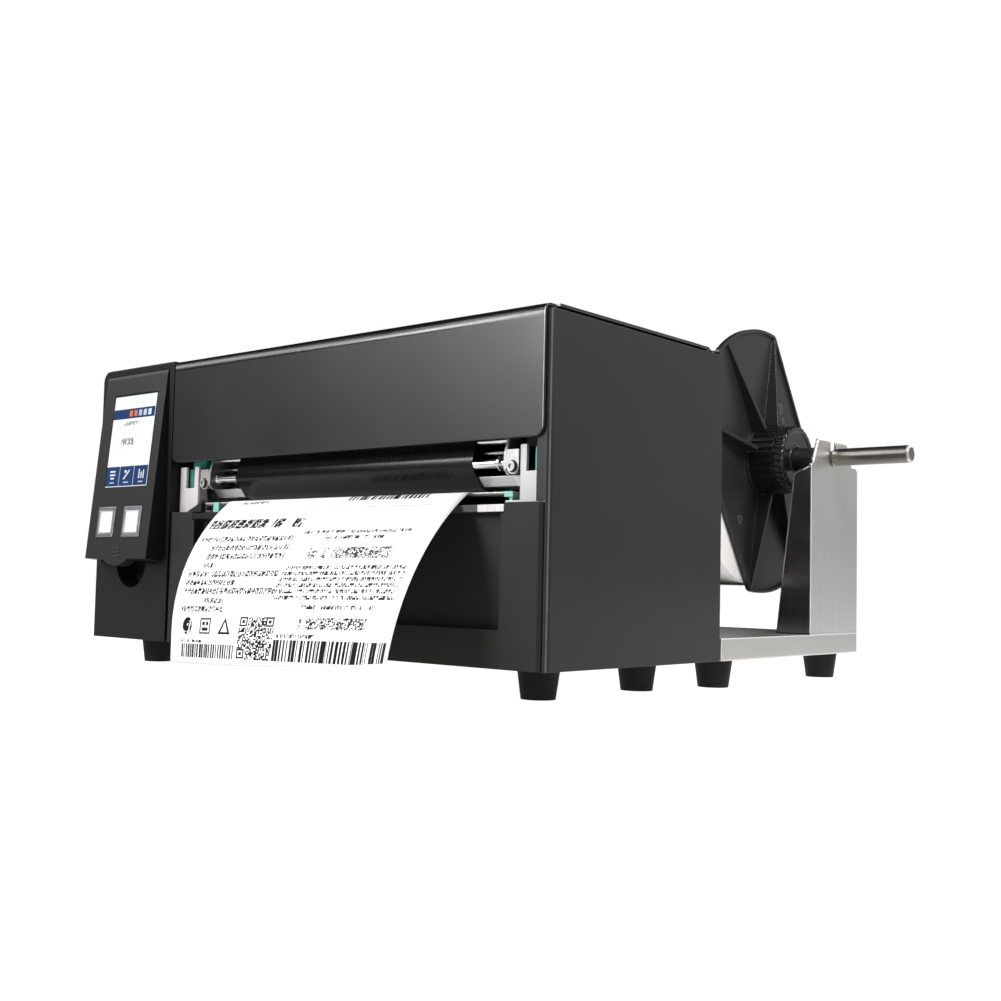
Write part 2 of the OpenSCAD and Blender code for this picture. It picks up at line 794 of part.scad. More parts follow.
// Flanged bushes for the platen shaft in the two frame plates
module platen_bearings() {
    color([0.55, 0.5, 0.4]) both_sides() difference() {
        union() {
            rod_x(plate_in, platen_y, platen_z, platen_shaft_r + 3, sheet_t);
            rod_x(plate_in - 2, platen_y, platen_z, platen_shaft_r + 4, 2);
        }
        rod_x(plate_in - 3, platen_y, platen_z, platen_shaft_r + fit, sheet_t + 4);
    }
}

// Square stepping motor behind the lower front, screwed to the left frame plate
module drive_motor() {
    color([0.2, 0.2, 0.22]) difference() {
        union() {
            intersection() {
                translate([-plate_in, motor_y - motor_w / 2, motor_z - motor_w / 2])
                    cube([motor_l, motor_w, motor_w]);
                rod_x(-plate_in, motor_y, motor_z, motor_w * 0.64, motor_l);
            }
            rod_x(-plate_out, motor_y, motor_z, 11, sheet_t);
        }
        rod_x(-plate_out - 1, motor_y, motor_z, 2.5 + fit, 14);
    }
}

// Toothed belt from the motor to the platen
module drive_belt() {
    m = [motor_y, motor_z];
    gap = run_gap;
    color(rubber) along_x(pulley_x - belt_w, belt_w) difference() {
        polygon(loop_outline(platen_c, platen_pulley_r + gap + belt_t, m,
            motor_pulley_r + gap + belt_t));
        polygon(loop_outline(platen_c, platen_pulley_r + gap, m, motor_pulley_r + gap));
    }
}

// Control board with a heat sink and a row of parts, on the rear connectors
module main_board() {
    z = port_z - board_drop;
    y0 = body_d - sheet_t - board_gap - board_l;
    post_y = supply_box_y + supply_box_l + 2 * post_r;
    post_x = x_left + board_side + 1.6 * post_r;
    color([0.05, 0.3, 0.16]) {
        translate([x_left + board_side, y0, z - board_t])
            cube([column_w - board_side - board_gap, board_l, board_t]);
        translate([x_left + board_side + chip_h, y0 + chip_h, z - board_t / 2])
            cube([chip_w, chip_w, chip_h]);
        for (i = [0 : 3])
            translate([panel_x + 3 * can_r, y0 + chip_h + can_r + 3 * i * can_r, z - board_t / 2])
                cylinder(r = can_r, h = 3 * can_r);
        for (q = [[post_x, y0 + 2 * post_r], [post_x, post_y], [x_col - 2 * post_r, post_y]])
            translate([q[0], q[1], z0 + sheet_t])
                cylinder(r = post_r, h = z - board_t / 2 - z0 - sheet_t);
    }
}

// Boxed power supply with vent slots across its top
module power_supply() {
    slot_w = 4;
    n = floor(supply_box_l / (2.5 * slot_w)) - 1;
    color(stainless) difference() {
        translate([supply_box_x, supply_box_y, z0 + sheet_t])
            cube([supply_box_w, supply_box_l, supply_box_h]);
        for (i = [1 : n])
            translate([supply_box_x - 1, supply_box_y + 2.5 * slot_w * i - slot_w / 2,
                z0 + sheet_t + supply_box_h - 2 * slot_w])
                cube([supply_box_w + 2, slot_w, 2 * slot_w + 1]);
    }
}

module interface_ports() {
    color(stainless) difference() {
        along_y(body_d - port_l, port_l + seam) port_outlines(0);
        along_y(body_d - port_l + 5 * port_wall, port_l) port_outlines(-port_wall);
    }
}

// Mains inlet with its three blades, and the housing of the rocker switch beside it
module power_inlet() {
    y0 = body_d - inlet_l;
    color(moulded) {
        difference() {
            union() {
                translate([inlet_x - inlet_w / 2, y0, inlet_z - inlet_h / 2])
                    cube([inlet_w, inlet_l, inlet_h]);
                translate([inlet_x - inlet_w / 2 - inlet_wall, body_d,
                    inlet_z - inlet_h / 2 - inlet_wall])
                    cube([inlet_w + 2 * inlet_wall, inlet_wall, inlet_h + 2 * inlet_wall]);
            }
            translate([inlet_x - inlet_w / 2 + inlet_wall, y0 + inlet_wall,
                inlet_z - inlet_h / 2 + inlet_wall])
                cube([inlet_w - 2 * inlet_wall, 2 * inlet_l, inlet_h - 2 * inlet_wall]);
        }
        difference() {
            translate([switch_x - housing_w / 2, body_d - housing_l, inlet_z - housing_h / 2])
                cube([housing_w, housing_l, housing_h]);
            translate([switch_x - housing_w / 2 + switch_wall, body_d - housing_l + switch_wall,
                inlet_z - housing_h / 2 + switch_wall])
                cube([housing_w - 2 * switch_wall, housing_l, housing_h - 2 * switch_wall]);
        }
        rod_x(switch_x - housing_w / 2 + switch_wall / 2, switch_pin_y, inlet_z, switch_pin_r,
            housing_w - switch_wall);
        for (p = [[-1, -1], [0, 1], [1, -1]])
            translate([inlet_x + p[0] * blade_pitch - blade_t / 2, y0 + inlet_wall / 2,
                inlet_z + p[1] * blade_t - blade_t])
                cube([blade_t, blade_l, 2 * blade_t]);
    }
}

// Tapered rubber foot with a sunk screw seat
module foot() {
    color(rubber) translate([0, 0, -foot_h]) difference() {
        cylinder(r1 = foot_low_r, r2 = foot_top_r, h = foot_h);
        translate([0, 0, -1]) cylinder(r = 5, h = 7);
    }
}

module printer_feet() {
    foot_places() foot();
}

module stand_foot_places() {
    side = foot_top_r + 3.5;
    for (y = [stand_y + foot_top_r + 4.5, stand_y + tray_d - foot_top_r - 16.5])
        for (x = [-x_right + side, x_right - side])
            translate([x, y, z0]) children();
}

module stand_feet() {
    stem_r = foot_top_r / 2;
    stand_foot_places() {
        foot();
        color(rubber) cylinder(r = stem_r, h = tray_h - steel_t);
    }
}

// Folded stainless tray with two tongues that reach under the printer
module stand_base() {
    tongue_w = 32;
    tongue_l = 40;
    color(stainless) {
        difference() {
            translate([-x_right, stand_y, z0]) cube([2 * x_right, tray_d, tray_h]);
            translate([-x_right + steel_t, stand_y + steel_t, z0 - 1])
                cube([2 * (x_right - steel_t), tray_d - 2 * steel_t, tray_h - steel_t + 1]);
        }
        both_sides() translate([x_right / 2, stand_y - tongue_l, z0 - steel_t])
            cube([tongue_w, tongue_l + 2 * steel_t, steel_t]);
    }
}

// Upright on the right as drawn: web with the shaft notch, two tapered flanges and a foot flange
module upright() {
    y1 = upright_y + upright_d;
    x1 = x_right;
    ear_z = roll_z + ear_h;
    shoulder = roll_z - 5;
    edge = 3;
    ear_front = 24;
    ear_back = 22;
    slant = 8;
    notch_r = neck_r + notch_gap;
    difference() {
        along_x(x1 - steel_t, steel_t)
            polygon([[upright_y, z_tray], [y1, z_tray], [y1, shoulder - edge], [y1 - edge, shoulder],
                [roll_y + ear_back + slant, shoulder], [roll_y + ear_back, ear_z],
                [roll_y - ear_front, ear_z], [roll_y - ear_front - slant, shoulder],
                [upright_y + edge, shoulder], [upright_y, shoulder - edge]]);
        rod_x(x1 - steel_t - 1, roll_y, roll_z, notch_r, steel_t + 2);
        translate([x1 - steel_t - 1, roll_y - notch_r, roll_z])
            cube([steel_t + 2, 2 * notch_r, ear_h + 1]);
    }
    for (y = [upright_y, y1 - steel_t])
        along_y(y, steel_t) polygon([[x1 - steel_t, z_tray], [x1 - steel_t, shoulder - edge - 1],
            [x1 - flange_top_w, shoulder - 2 * edge - 3], [x1 - flange_foot_w, z_tray]]);
    translate([x1 - flange_foot_w, upright_y + steel_t, z_tray])
        cube([flange_foot_w - steel_t, upright_d - 2 * steel_t, steel_t]);
}

module stand_upright_right() {
    color(stainless) upright();
}

module stand_upright_left() {
    color(stainless) mirror([1, 0, 0]) upright();
}

module stand_screws() {
    color(bright) both_sides() for (y = [upright_y + 16, upright_y + upright_d - 16])
        translate([x_right - 14, y, z_tray + steel_t]) difference() {
            cylinder(r = 4.5, h = 2.6);
            translate([0, 0, 1.2]) cylinder(r = 2.2, h = 2, $fn = 6);
        }
}

// One sheet of label on its liner, its free end curling out and down askew
module label_web() {
    columns = 8;
    paths = [for (c = [0 : columns]) web_path(c / columns)];
    last = len(paths[0]) - 1;
    points = [for (c = [0 : columns]) for (i = [0 : last]) for (side = [-1, 1])
        let (p = paths[c][i] + side * path_normal(paths[c], i) * label_t / 2)
            [(c / columns - 0.5) * label_w, p[0], p[1]]];
    function up(c, i) = 2 * (c * (last + 1) + i);
    function low(c, i) = up(c, i) + 1;
    function two(a, b, c, d) = [[a, b, c], [a, c, d]];
    across = [for (c = [0 : columns - 1]) each concat(
        two(up(c + 1, 0), up(c, 0), low(c, 0), low(c + 1, 0)),
        two(up(c, last), up(c + 1, last), low(c + 1, last), low(c, last)))];
    along = [for (i = [0 : last - 1]) each concat(
        two(up(0, i), up(0, i + 1), low(0, i + 1), low(0, i)),
        two(up(columns, i + 1), up(columns, i), low(columns, i), low(columns, i + 1)))];
    faces = [for (c = [0 : columns - 1]) for (i = [0 : last - 1]) each concat(
        two(up(c, i), up(c + 1, i), up(c + 1, i + 1), up(c, i + 1)),
        two(low(c, i + 1), low(c + 1, i + 1), low(c + 1, i), low(c, i)))];
    color(paper) polyhedron(points, concat(faces, across, along));
}

// Bent sheet that covers the front and the top of the bay, with its hinge barrels
module lid() {
    front_h = z_top - z_slot;
    w = half_bay - seam;
    lid_side_gap = 4;
    color(painted) difference() {
        union() {
            along_x(-w, 2 * w) {
                translate([0, z_slot]) square([sheet_t, front_h - lid_bend_r]);
                translate([lid_bend_r, z_top - lid_bend_r]) rotate(90) bend(lid_bend_r, sheet_t);
                translate([lid_bend_r, z_top - sheet_t]) square([lid_back - lid_bend_r, sheet_t]);
            }
            along_x(-w + lid_corner_r, 2 * (w - lid_corner_r))
                translate([sheet_t / 2, z_slot]) square([5, sheet_t]);
            translate([w - 1, lid_bend_r + lid_side_gap, z_top - sheet_t])
                cube([x_right - w + 1, hinge_y - 2 * lid_side_gap - lid_bend_r, sheet_t]);
            both_sides() {
                translate([plate_in - 3 - sheet_t, lid_bend_r + lid_side_gap, z_top - 9])
                    cube([sheet_t, hinge_y - 30, 9 - sheet_t / 2]);
                rod_x(plate_in - hinge_l, hinge_y, hinge_z, barrel_r, hinge_l - 2);
                translate([plate_in - hinge_l, hinge_y - barrel_r, hinge_z])
                    cube([hinge_l - 2, 2 * barrel_r, z_top - sheet_t / 2 - hinge_z]);
            }
        }
        both_sides() translate([plate_in - hinge_l - 1, hinge_y, hinge_z]) rotate([0, 90, 0])
            cylinder(r = hinge_r + fit, h = hinge_l);
        both_sides() along_y(-1, sheet_t + 2) translate([w, z_slot]) mirror([1, 0])
            corner_cut(lid_corner_r);
    }
}

// Turns a piece that is drawn with the panel shut to the angle at which the panel rests
module on_panel() {
    translate([panel_x, panel_axis_y, panel_axis_z]) rotate([-panel_open, 0, 0])
        translate([0, -panel_axis_y, -panel_axis_z]) children();
}

// Housing of the tilting panel, with the window, two key openings and the pull lip
module panel_shell() {
    w = panel_w / 2;
    front = -panel_proud;
    back = front + panel_d;
    color(moulded) on_panel() {
        difference() {
            union() {
                along_x(-w, panel_w) {
                    translate([front, panel_z0]) square([panel_d, panel_axis_z - panel_z0]);
                    translate([panel_axis_y, panel_axis_z]) circle(panel_round);
                }
                intersection() {
                    rod_y(0, front, panel_z0 + 29 - lip_drop, 29, panel_d - 5);
                    translate([-lip_w / 2, front, panel_z0 - lip_drop])
                        cube([lip_w, panel_d - 5, lip_drop + 1]);
                }
            }
            translate([-w + panel_wall, front + panel_wall, panel_z0 + panel_wall])
                cube([panel_w - 2 * panel_wall, panel_d, panel_axis_z - 4 - panel_z0 - panel_wall]);
            translate([-screen_w / 2, front - 1, screen_z]) cube([screen_w, panel_d, screen_h]);
            for (s = [-1, 1])
                translate([s * key_pitch / 2 - key_frame_w / 2 - seam / 2, front - 1,
                    key_z - key_frame_w / 2 - seam / 2])
                    cube([key_frame_w + seam, panel_d, key_frame_w + seam]);
        }
        for (i = [0 : 2])
            translate([-7 + i, front - 0.6, panel_z0 + 1 + i * 3]) cube([14 - 2 * i, 1, 1]);
        both_sides() rod_x(w - 0.5, panel_axis_y, panel_axis_z, panel_pin_r,
            0.5 + pocket_gap + panel_pin_l);
    }
}

module panel_back() {
    w = panel_w / 2 - panel_wall - seam / 2;
    color(moulded) on_panel()
        translate([-w, panel_d - panel_proud - panel_wall, panel_z0 + panel_wall + seam])
            cube([2 * w, panel_wall, panel_axis_z - 4 - panel_z0 - panel_wall - 2 * seam]);
}

// Display glass in the window, on its deeper frame
module screen_module() {
    g = seam / 2;
    front = -panel_proud;
    color([0.9, 0.93, 0.97]) on_panel() {
        translate([-screen_w / 2 + g, front + 0.6, screen_z + g])
            cube([screen_w - 2 * g, panel_wall, screen_h - 2 * g]);
        translate([-screen_w / 2 - 3, front + panel_wall + g, screen_z - 4])
            cube([screen_w + 6, 5, screen_h + 8]);
    }
}

module key_frames() {
    front = -panel_proud;
    inner = key_w + 2 * run_gap;
    color(bright) on_panel() for (s = [-1, 1])
        translate([s * key_pitch / 2, 0, key_z]) difference() {
            union() {
                translate([-key_frame_w / 2, front - 0.7, -key_frame_w / 2])
                    cube([key_frame_w, panel_wall + 0.7 + key_d, key_frame_w]);
                translate([-key_frame_w / 2 - 1.5, front + panel_wall + seam / 2,
                    -key_frame_w / 2 - 1.5]) cube([key_frame_w + 3, 2, key_frame_w + 3]);
            }
            translate([-inner / 2, front - 2, -inner / 2]) cube([inner, panel_wall + 2 + key_d, inner]);
        }
}

module key(s) {
    front = -panel_proud;
    color("white") on_panel() translate([s * key_pitch / 2 - key_w / 2, front - 0.5, key_z - key_w / 2])
        cube([key_w, key_d, key_w]);
}

module key_left() {
    key(-1);
}

module key_right() {
    key(1);
}

// Teal lever behind the bracket's notch, with a wide thumb tab, on the right as drawn
module release_lever() {
    tab_z1 = bracket_z1 + tab_h - 0.6;
    color(teal) difference() {
        union() {
            rod_x(notch_x - lever_w / 2, lever_y, lever_z, lever_pin_r + 2.4, lever_w);
            along_x(notch_x - lever_w / 2, lever_w)
                polygon([[lever_y - 4, lever_z + 2], [lever_y + 4, lever_z + 2],
                    [lever_back, notch_z + 4], [lever_back, tab_z1 - tab_h / 2],
                    [lever_front, tab_z1 - tab_h / 2], [lever_front, notch_z]]);
            translate([notch_x - tab_in, lever_front, tab_z1 - tab_h])
                cube([tab_in + tab_out, lever_back - lever_front, tab_h]);
        }
        rod_x(notch_x - lever_w / 2 - 1, lever_y, lever_z, lever_pin_r + fit, lever_w + 2);
    }
}

module release_lever_right() {
    release_lever();
}

module release_lever_left() {
    mirror([1, 0, 0]) release_lever();
}

// Aluminium bar over the print line, with the two arms that swing on the pivot shaft
module head_carrier() {
    z = head_z + head_t;
    color([0.7, 0.7, 0.7]) difference() {
        union() {
            along_x(-arm_x, 2 * arm_x)
                polygon([[carrier_front, z + carrier_h], [carrier_front + 4.5, z],
                    [carrier_back, z], [carrier_back, z + carrier_h]]);
            both_sides() along_x(arm_x - arm_t, arm_t) {
                polygon([[carrier_back - 12, z + 1], [carrier_back - 12, z + carrier_h + 3],
                    [pivot_y - 4, pivot_z + pivot_r + 3], [pivot_y, pivot_z - pivot_r - 3]]);
                translate([pivot_y, pivot_z]) circle(pivot_r + 4);
            }
        }
        rod_x(-arm_x - 1, pivot_y, pivot_z, pivot_r + fit, 2 * arm_x + 2);
    }
}

module print_head() {
    w = label_w + 2 * film_margin;
    color([0.08, 0.08, 0.08]) along_x(-w / 2, w)
        polygon([[platen_y - 6, head_z + head_t], [platen_y - 4, head_z], [platen_y + 8, head_z],
            [carrier_back - 2, head_z + 0.8], [carrier_back - 2, head_z + head_t]]);
}

// Two chrome rods that the ribbon bends round, with their clip rings, and a thin stay behind them
module ribbon_rods() {
    ring_in = 6.4;
    stay_r = 1.2;
    color(bright) {
        rod_x(-rod_half, low_rod_y, low_rod_z, rod_r, 2 * rod_half);
        rod_x(-rod_half, upper_rod_y, upper_rod_z, upper_rod_r, 2 * rod_half);
        rod_x(-rod_half, upper_rod_y + 2.5 * stay_r, upper_rod_z - 5.5 * stay_r, stay_r, 2 * rod_half);
        both_sides() rod_x(rod_half - ring_in, low_rod_y, low_rod_z, rod_r + 1.7, 1.4);
    }
}

// Bright plates at the rod ends, with an eye and its screw, on the head carrier
module rod_plates() {
    z = head_z + head_t + carrier_h;
    leg_t = 2;
    front = low_rod_y - 5;
    eye_x = rod_half + 6.6;
    eye_z = low_rod_z - 2.4;
    eye_r = 4.4;
    screw_r = 2.9;
    plate_h = 9.6;
    color(bright) both_sides() {
        along_x(rod_half, leg_t)
            polygon([[front + 3, z], [front + 20, z], [front + 20, z + 4],
                [upper_rod_y + 4, upper_rod_z + 4], [upper_rod_y - 4, upper_rod_z + 4],
                [front, low_rod_z + 5], [front, low_rod_z - 4]]);
        translate([rod_half, front, eye_z + 1]) cube([eye_x - rod_half, leg_t, plate_h - 3]);
        translate([eye_x - eye_r, front, eye_z]) cube([2 * eye_r, leg_t, plate_h]);
        difference() {
            union() {
                rod_y(eye_x, front, eye_z, eye_r, leg_t);
                rod_y(eye_x, front - 2, eye_z, screw_r, 2.5);
            }
            rod_y(eye_x, front - 3, eye_z, screw_r / 2, 2);
        }
    }
}

module ribbon_film() {
    color([0.06, 0.06, 0.07]) along_x(-film_w / 2, film_w)
        polygon(strip_outline(film_path, film_t));
}

// Ribbed plastic spindle with a stub shaft at each end
module spindle(y, z) {
    color([0.16, 0.16, 0.17]) {
        rod_x(-plate_out, y, z, spindle_pin_r, 2 * plate_out);
        rod_x(-plate_in + 4, y, z, spindle_r, 2 * (plate_in - 4));
        both_sides() rod_x(plate_in - 9, y, z, spindle_r + 5, 5);
        for (a = [0 : 60 : 300])
            translate([0, y, z]) rotate([a, 0, 0]) translate([-film_w / 2, -1, spindle_r - 1])
                cube([film_w, 2, ribbon_core_r - spindle_r + 1 - fit]);
    }
}

module ribbon_coil(y, z, r) {
    color([0.07, 0.07, 0.08]) difference() {
        rod_x(-film_w / 2, y, z, r, film_w);
        rod_x(-film_w / 2 - 1, y, z, ribbon_core_r, film_w + 2);
    }
}

module supply_spindle() {
    spindle(supply_y, supply_z);
}

module supply_ribbon() {
    ribbon_coil(supply_y, supply_z, supply_r);
}

module rewind_spindle() {
    spindle(rewind_y, rewind_z);
}

module rewind_ribbon() {
    ribbon_coil(rewind_y, rewind_z, rewind_r);
}

module platen_roller() {
    color(rubber) difference() {
        rod_x(-label_w / 2 - 2, platen_y, platen_z, platen_r, label_w + 4);
        rod_x(-label_w / 2 - 3, platen_y, platen_z, platen_shaft_r, label_w + 6);
    }
}

module platen_shaft() {
    color(bright) rod_x(pulley_x - belt_w - 2, platen_y, platen_z, platen_shaft_r,
        plate_out - pulley_x + belt_w + 2);
}

// Toothed pulley with a rim on each side of the belt
module pulley(y, z, r, bore) {
    teeth = floor(r * 2.4);
    difference() {
        union() {
            along_x(pulley_x - belt_w, belt_w) translate([y, z]) difference() {
                circle(r);
                for (i = [0 : teeth - 1])
                    rotate(i * 360 / teeth) translate([r, 0]) circle(0.6, $fn = 16);
            }
            rod_x(pulley_x - 1, y, z, r - 1, 2 + run_gap);
            rod_x(pulley_x + run_gap, y, z, r + 1, 1);
        }
        rod_x(pulley_x - belt_w - 1, y, z, bore, belt_w + 4);
    }
}

module platen_pulley() {
    color([0.3, 0.3, 0.32]) pulley(platen_y, platen_z, platen_pulley_r, platen_shaft_r);
}

// Pulley with the motor's own shaft
module motor_pulley() {
    color([0.3, 0.3, 0.32]) {
        pulley(motor_y, motor_z, motor_pulley_r, 2.5);
        rod_x(pulley_x - belt_w, motor_y, motor_z, 2.5, belt_w - pulley_x - plate_out + sheet_t + 10);
    }
}

// Steel shaft with a groove for each upright
module roll_shaft() {
    l = x_right + shaft_out;
    groove = steel_t + 2 * run_gap + 2;
    mid = x_right - steel_t / 2;
    color(stainless) difference() {
        union() {
            rod_x(-l + 0.8, roll_y, roll_z, shaft_r, 2 * l - 1.6);
            rod_x(-l, roll_y, roll_z, shaft_r - 0.8, 2 * l);
        }
        both_sides() difference() {
            rod_x(mid - groove / 2, roll_y, roll_z, shaft_r + 1, groove);
            rod_x(mid - groove / 2 - 1, roll_y, roll_z, neck_r, groove + 2);
        }
    }
}

module roll_core() {
    color([0.62, 0.48, 0.33]) difference() {
        rod_x(-label_w / 2, roll_y, roll_z, core_r + core_t, label_w);
        rod_x(-label_w / 2 - 1, roll_y, roll_z, core_r, label_w + 2);
    }
}

module paper_roll() {
    color(paper) difference() {
        rod_x(-label_w / 2, roll_y, roll_z, roll_r, label_w);
        rod_x(-label_w / 2 - 1, roll_y, roll_z, core_r + core_t, label_w + 2);
    }
}

// Flange with two rounded lobes, tapered ribs, a rim, a core plug and the long sleeve
module flange() {
    x = label_w / 2 + seam / 2;
    rim_w = 2.2;
    rim_h = 2;
    rib_t = 2.6;
    rib_in = knob_r + 1.5;
    rib_out = disc_r - rim_w;
    difference() {
        union() {
            translate([x, roll_y, roll_z]) rotate([disc_lean, 0, 0]) rotate([90, 0, 90]) {
                linear_extrude(disc_t) lobes(0);
                linear_extrude(disc_t + rim_h) difference() {
                    lobes(0);
                    lobes(rim_w);
                }
            }
            rod_x(x, roll_y, roll_z, knob_r, disc_t + hub_h);
            rod_x(x - 16, roll_y, roll_z, core_r - fit, 17);
            rod_x(x, roll_y, roll_z, sleeve_r, disc_t + sleeve_l);
            for (a = [disc_corner - 90, 0, 90 - disc_corner])
                for (turn = [0, 180])
                    translate([x, roll_y, roll_z]) rotate([disc_lean + a + turn, 0, 0])
                        translate([0, 0, -rib_t / 2]) linear_extrude(rib_t)
                            polygon([[disc_t / 2, rib_in - 6], [disc_t + hub_h, rib_in - 6],
                                [disc_t + hub_h, rib_in], [disc_t + rib_h, rib_in],
                                [disc_t + rim_h, rib_out], [disc_t / 2, rib_out]]);
        }
        rod_x(x - 20, roll_y, roll_z, shaft_r + fit, sleeve_l + 40);
    }
}

// Disc with two parallel straight edges and rounded corners, long axis along x
module lobes(inset) {
    polygon(lobe_points(inset));
}

module flange_right() {
    color(moulded) flange();
}

module flange_left() {
    color(moulded) mirror([1, 0, 0]) flange();
}

// Knurled knob that clamps the flange on the shaft, on the right as drawn
module lock_knob() {
    x = label_w / 2 + seam / 2 + disc_t + hub_h + run_gap;
    difference() {
        along_x(x, knob_w) translate([roll_y, roll_z]) difference() {
            circle(knob_r, $fn = 96);
            for (i = [0 : knob_grips - 1])
                rotate(i * 360 / knob_grips) translate([knob_r + 0.4, 0]) circle(1.7, $fn = 16);
        }
        rod_x(x - 1, roll_y, roll_z, sleeve_r + fit, knob_w + 2);
        rod_x(x + knob_w - 4, roll_y, roll_z, knob_r - 6, 5);
    }
}

module lock_knob_right() {
    color(moulded) lock_knob();
}

module lock_knob_left() {
    color(moulded) mirror([1, 0, 0]) lock_knob();
}

// Rocker switch beside the mains inlet
module power_switch() {
    h = switch_h / 2 - 0.6;
    color(rubber) difference() {
        along_x(switch_x - switch_w / 2, switch_w)
            polygon([[body_d - 7, inlet_z - h + 4], [body_d - 1, inlet_z - h],
                [body_d + 1.6, inlet_z - h], [body_d + 0.4, inlet_z], [body_d + 1.6, inlet_z + h],
                [body_d - 1, inlet_z + h], [body_d - 7, inlet_z + h - 4]]);
        rod_x(switch_x - switch_w / 2 - 1, switch_pin_y, inlet_z, switch_pin_r + fit, switch_w + 2);
    }
}

place() base_pan();
place() right_side_cover();
place() left_cover();
place() rear_panel();
place() front_lower_cover();
place() column_bezel();
place() left_frame_plate();
place() right_frame_plate();
place() bracket_left();
place() bracket_right();
place() tear_plate();
place() apron_strip();
place() plate_clips();
place() hinge_pins();
place() head_pivot_shaft();
place() media_guide_bar();
place() platen_bearings();
place() drive_motor();
place() drive_belt();
place() main_board();
place() power_supply();
place() interface_ports();
place() power_inlet();
place() printer_feet();
place() stand_base();
place() stand_upright_left();
place() stand_upright_right();
place() stand_feet();
place() stand_screws();
place() label_web();
place() lid();
place() panel_shell();
place() panel_back();
place() screen_module();
place() key_frames();
place() key_left();
place() key_right();
place() release_lever_left();
place() release_lever_right();
place() head_carrier();
place() print_head();
place() ribbon_rods();
place() rod_plates();
place() ribbon_film();
place() supply_spindle();
place() supply_ribbon();
place() rewind_spindle();
place() rewind_ribbon();
place() platen_roller();
place() platen_shaft();
place() platen_pulley();
place() motor_pulley();
place() roll_shaft();
place() roll_core();
place() paper_roll();
place() flange_left();
place() flange_right();
place() lock_knob_left();
place() lock_knob_right();
place() power_switch();
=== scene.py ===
import math

import bpy
from mathutils import Matrix, Vector


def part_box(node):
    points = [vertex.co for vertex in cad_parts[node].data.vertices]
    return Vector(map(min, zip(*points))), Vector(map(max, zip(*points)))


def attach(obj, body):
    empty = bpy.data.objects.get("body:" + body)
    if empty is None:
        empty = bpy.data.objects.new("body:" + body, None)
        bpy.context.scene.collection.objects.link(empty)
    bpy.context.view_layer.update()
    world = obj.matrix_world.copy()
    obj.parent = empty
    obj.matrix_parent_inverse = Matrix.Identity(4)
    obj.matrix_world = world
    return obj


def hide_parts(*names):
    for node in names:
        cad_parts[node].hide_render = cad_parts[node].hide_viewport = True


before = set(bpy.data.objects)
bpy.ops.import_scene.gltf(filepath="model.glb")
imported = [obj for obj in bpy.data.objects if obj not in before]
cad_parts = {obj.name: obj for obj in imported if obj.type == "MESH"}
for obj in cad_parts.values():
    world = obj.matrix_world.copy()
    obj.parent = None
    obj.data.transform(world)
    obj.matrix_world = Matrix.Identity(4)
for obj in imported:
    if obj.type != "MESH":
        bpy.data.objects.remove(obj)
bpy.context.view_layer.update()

# Camera
# The photograph was taken from low in front of the machine's right corner, with a slightly long lens.
# Place, turn and lens were solved from the straight edges of the machine.
stand_point = Vector((0.60455, -0.71471, 0.0671))
yaw, pitch, roll = (math.radians(a) for a in (40.683, 3.601, 1.264))
ahead = Vector((-math.sin(yaw) * math.cos(pitch), math.cos(yaw) * math.cos(pitch), math.sin(pitch)))
level = Vector((math.cos(yaw), math.sin(yaw), 0))
upright = level.cross(ahead)
right = level * math.cos(roll) + upright * math.sin(roll)
up = upright * math.cos(roll) - level * math.sin(roll)
bpy.ops.object.camera_add()
camera = bpy.context.object
camera.data.lens = 45.14
camera.data.sensor_width = 36
camera.data.clip_start = 0.01
turn = Matrix((right, up, -ahead)).transposed()
camera.matrix_world = Matrix.Translation(stand_point) @ turn.to_4x4()
bpy.context.scene.camera = camera


# Painted steel covers
# The lid, the side cover, the left cover, the rear panel and the base pan are bent from 1.6 mm sheet
# and powder coated near black, satin, with a fine orange peel. Their edges are painted paler, partly thin paint
# and partly painted highlight, and a painted highlight runs down the upright folds at the machine's right.
class Reading:
    """A value that varies over a surface, and that takes part in plain arithmetic."""

    def __init__(self, finish, socket):
        self.finish = finish
        self.socket = socket

    def __add__(self, other):
        return self.finish.maths("ADD", self, other)

    def __sub__(self, other):
        return self.finish.maths("SUBTRACT", self, other)

    def __rsub__(self, other):
        return self.finish.maths("SUBTRACT", other, self)

    def __mul__(self, other):
        return self.finish.maths("MULTIPLY", self, other)

    def __truediv__(self, other):
        return self.finish.maths("DIVIDE", self, other)

    def __pow__(self, other):
        return self.finish.maths("POWER", self, other)

    def __gt__(self, other):
        return self.finish.maths("GREATER_THAN", self, other)

    def __lt__(self, other):
        return self.finish.maths("LESS_THAN", self, other)

    def __abs__(self):
        return self.finish.maths("ABSOLUTE", self, 0)

    def whole(self):
        return self.finish.maths("FLOOR", self, 0)

    def part(self):
        return self.finish.maths("FRACT", self, 0)

    def either(self, other):
        return self.finish.maths("MAXIMUM", self, other)

    __radd__ = __add__
    __rmul__ = __mul__


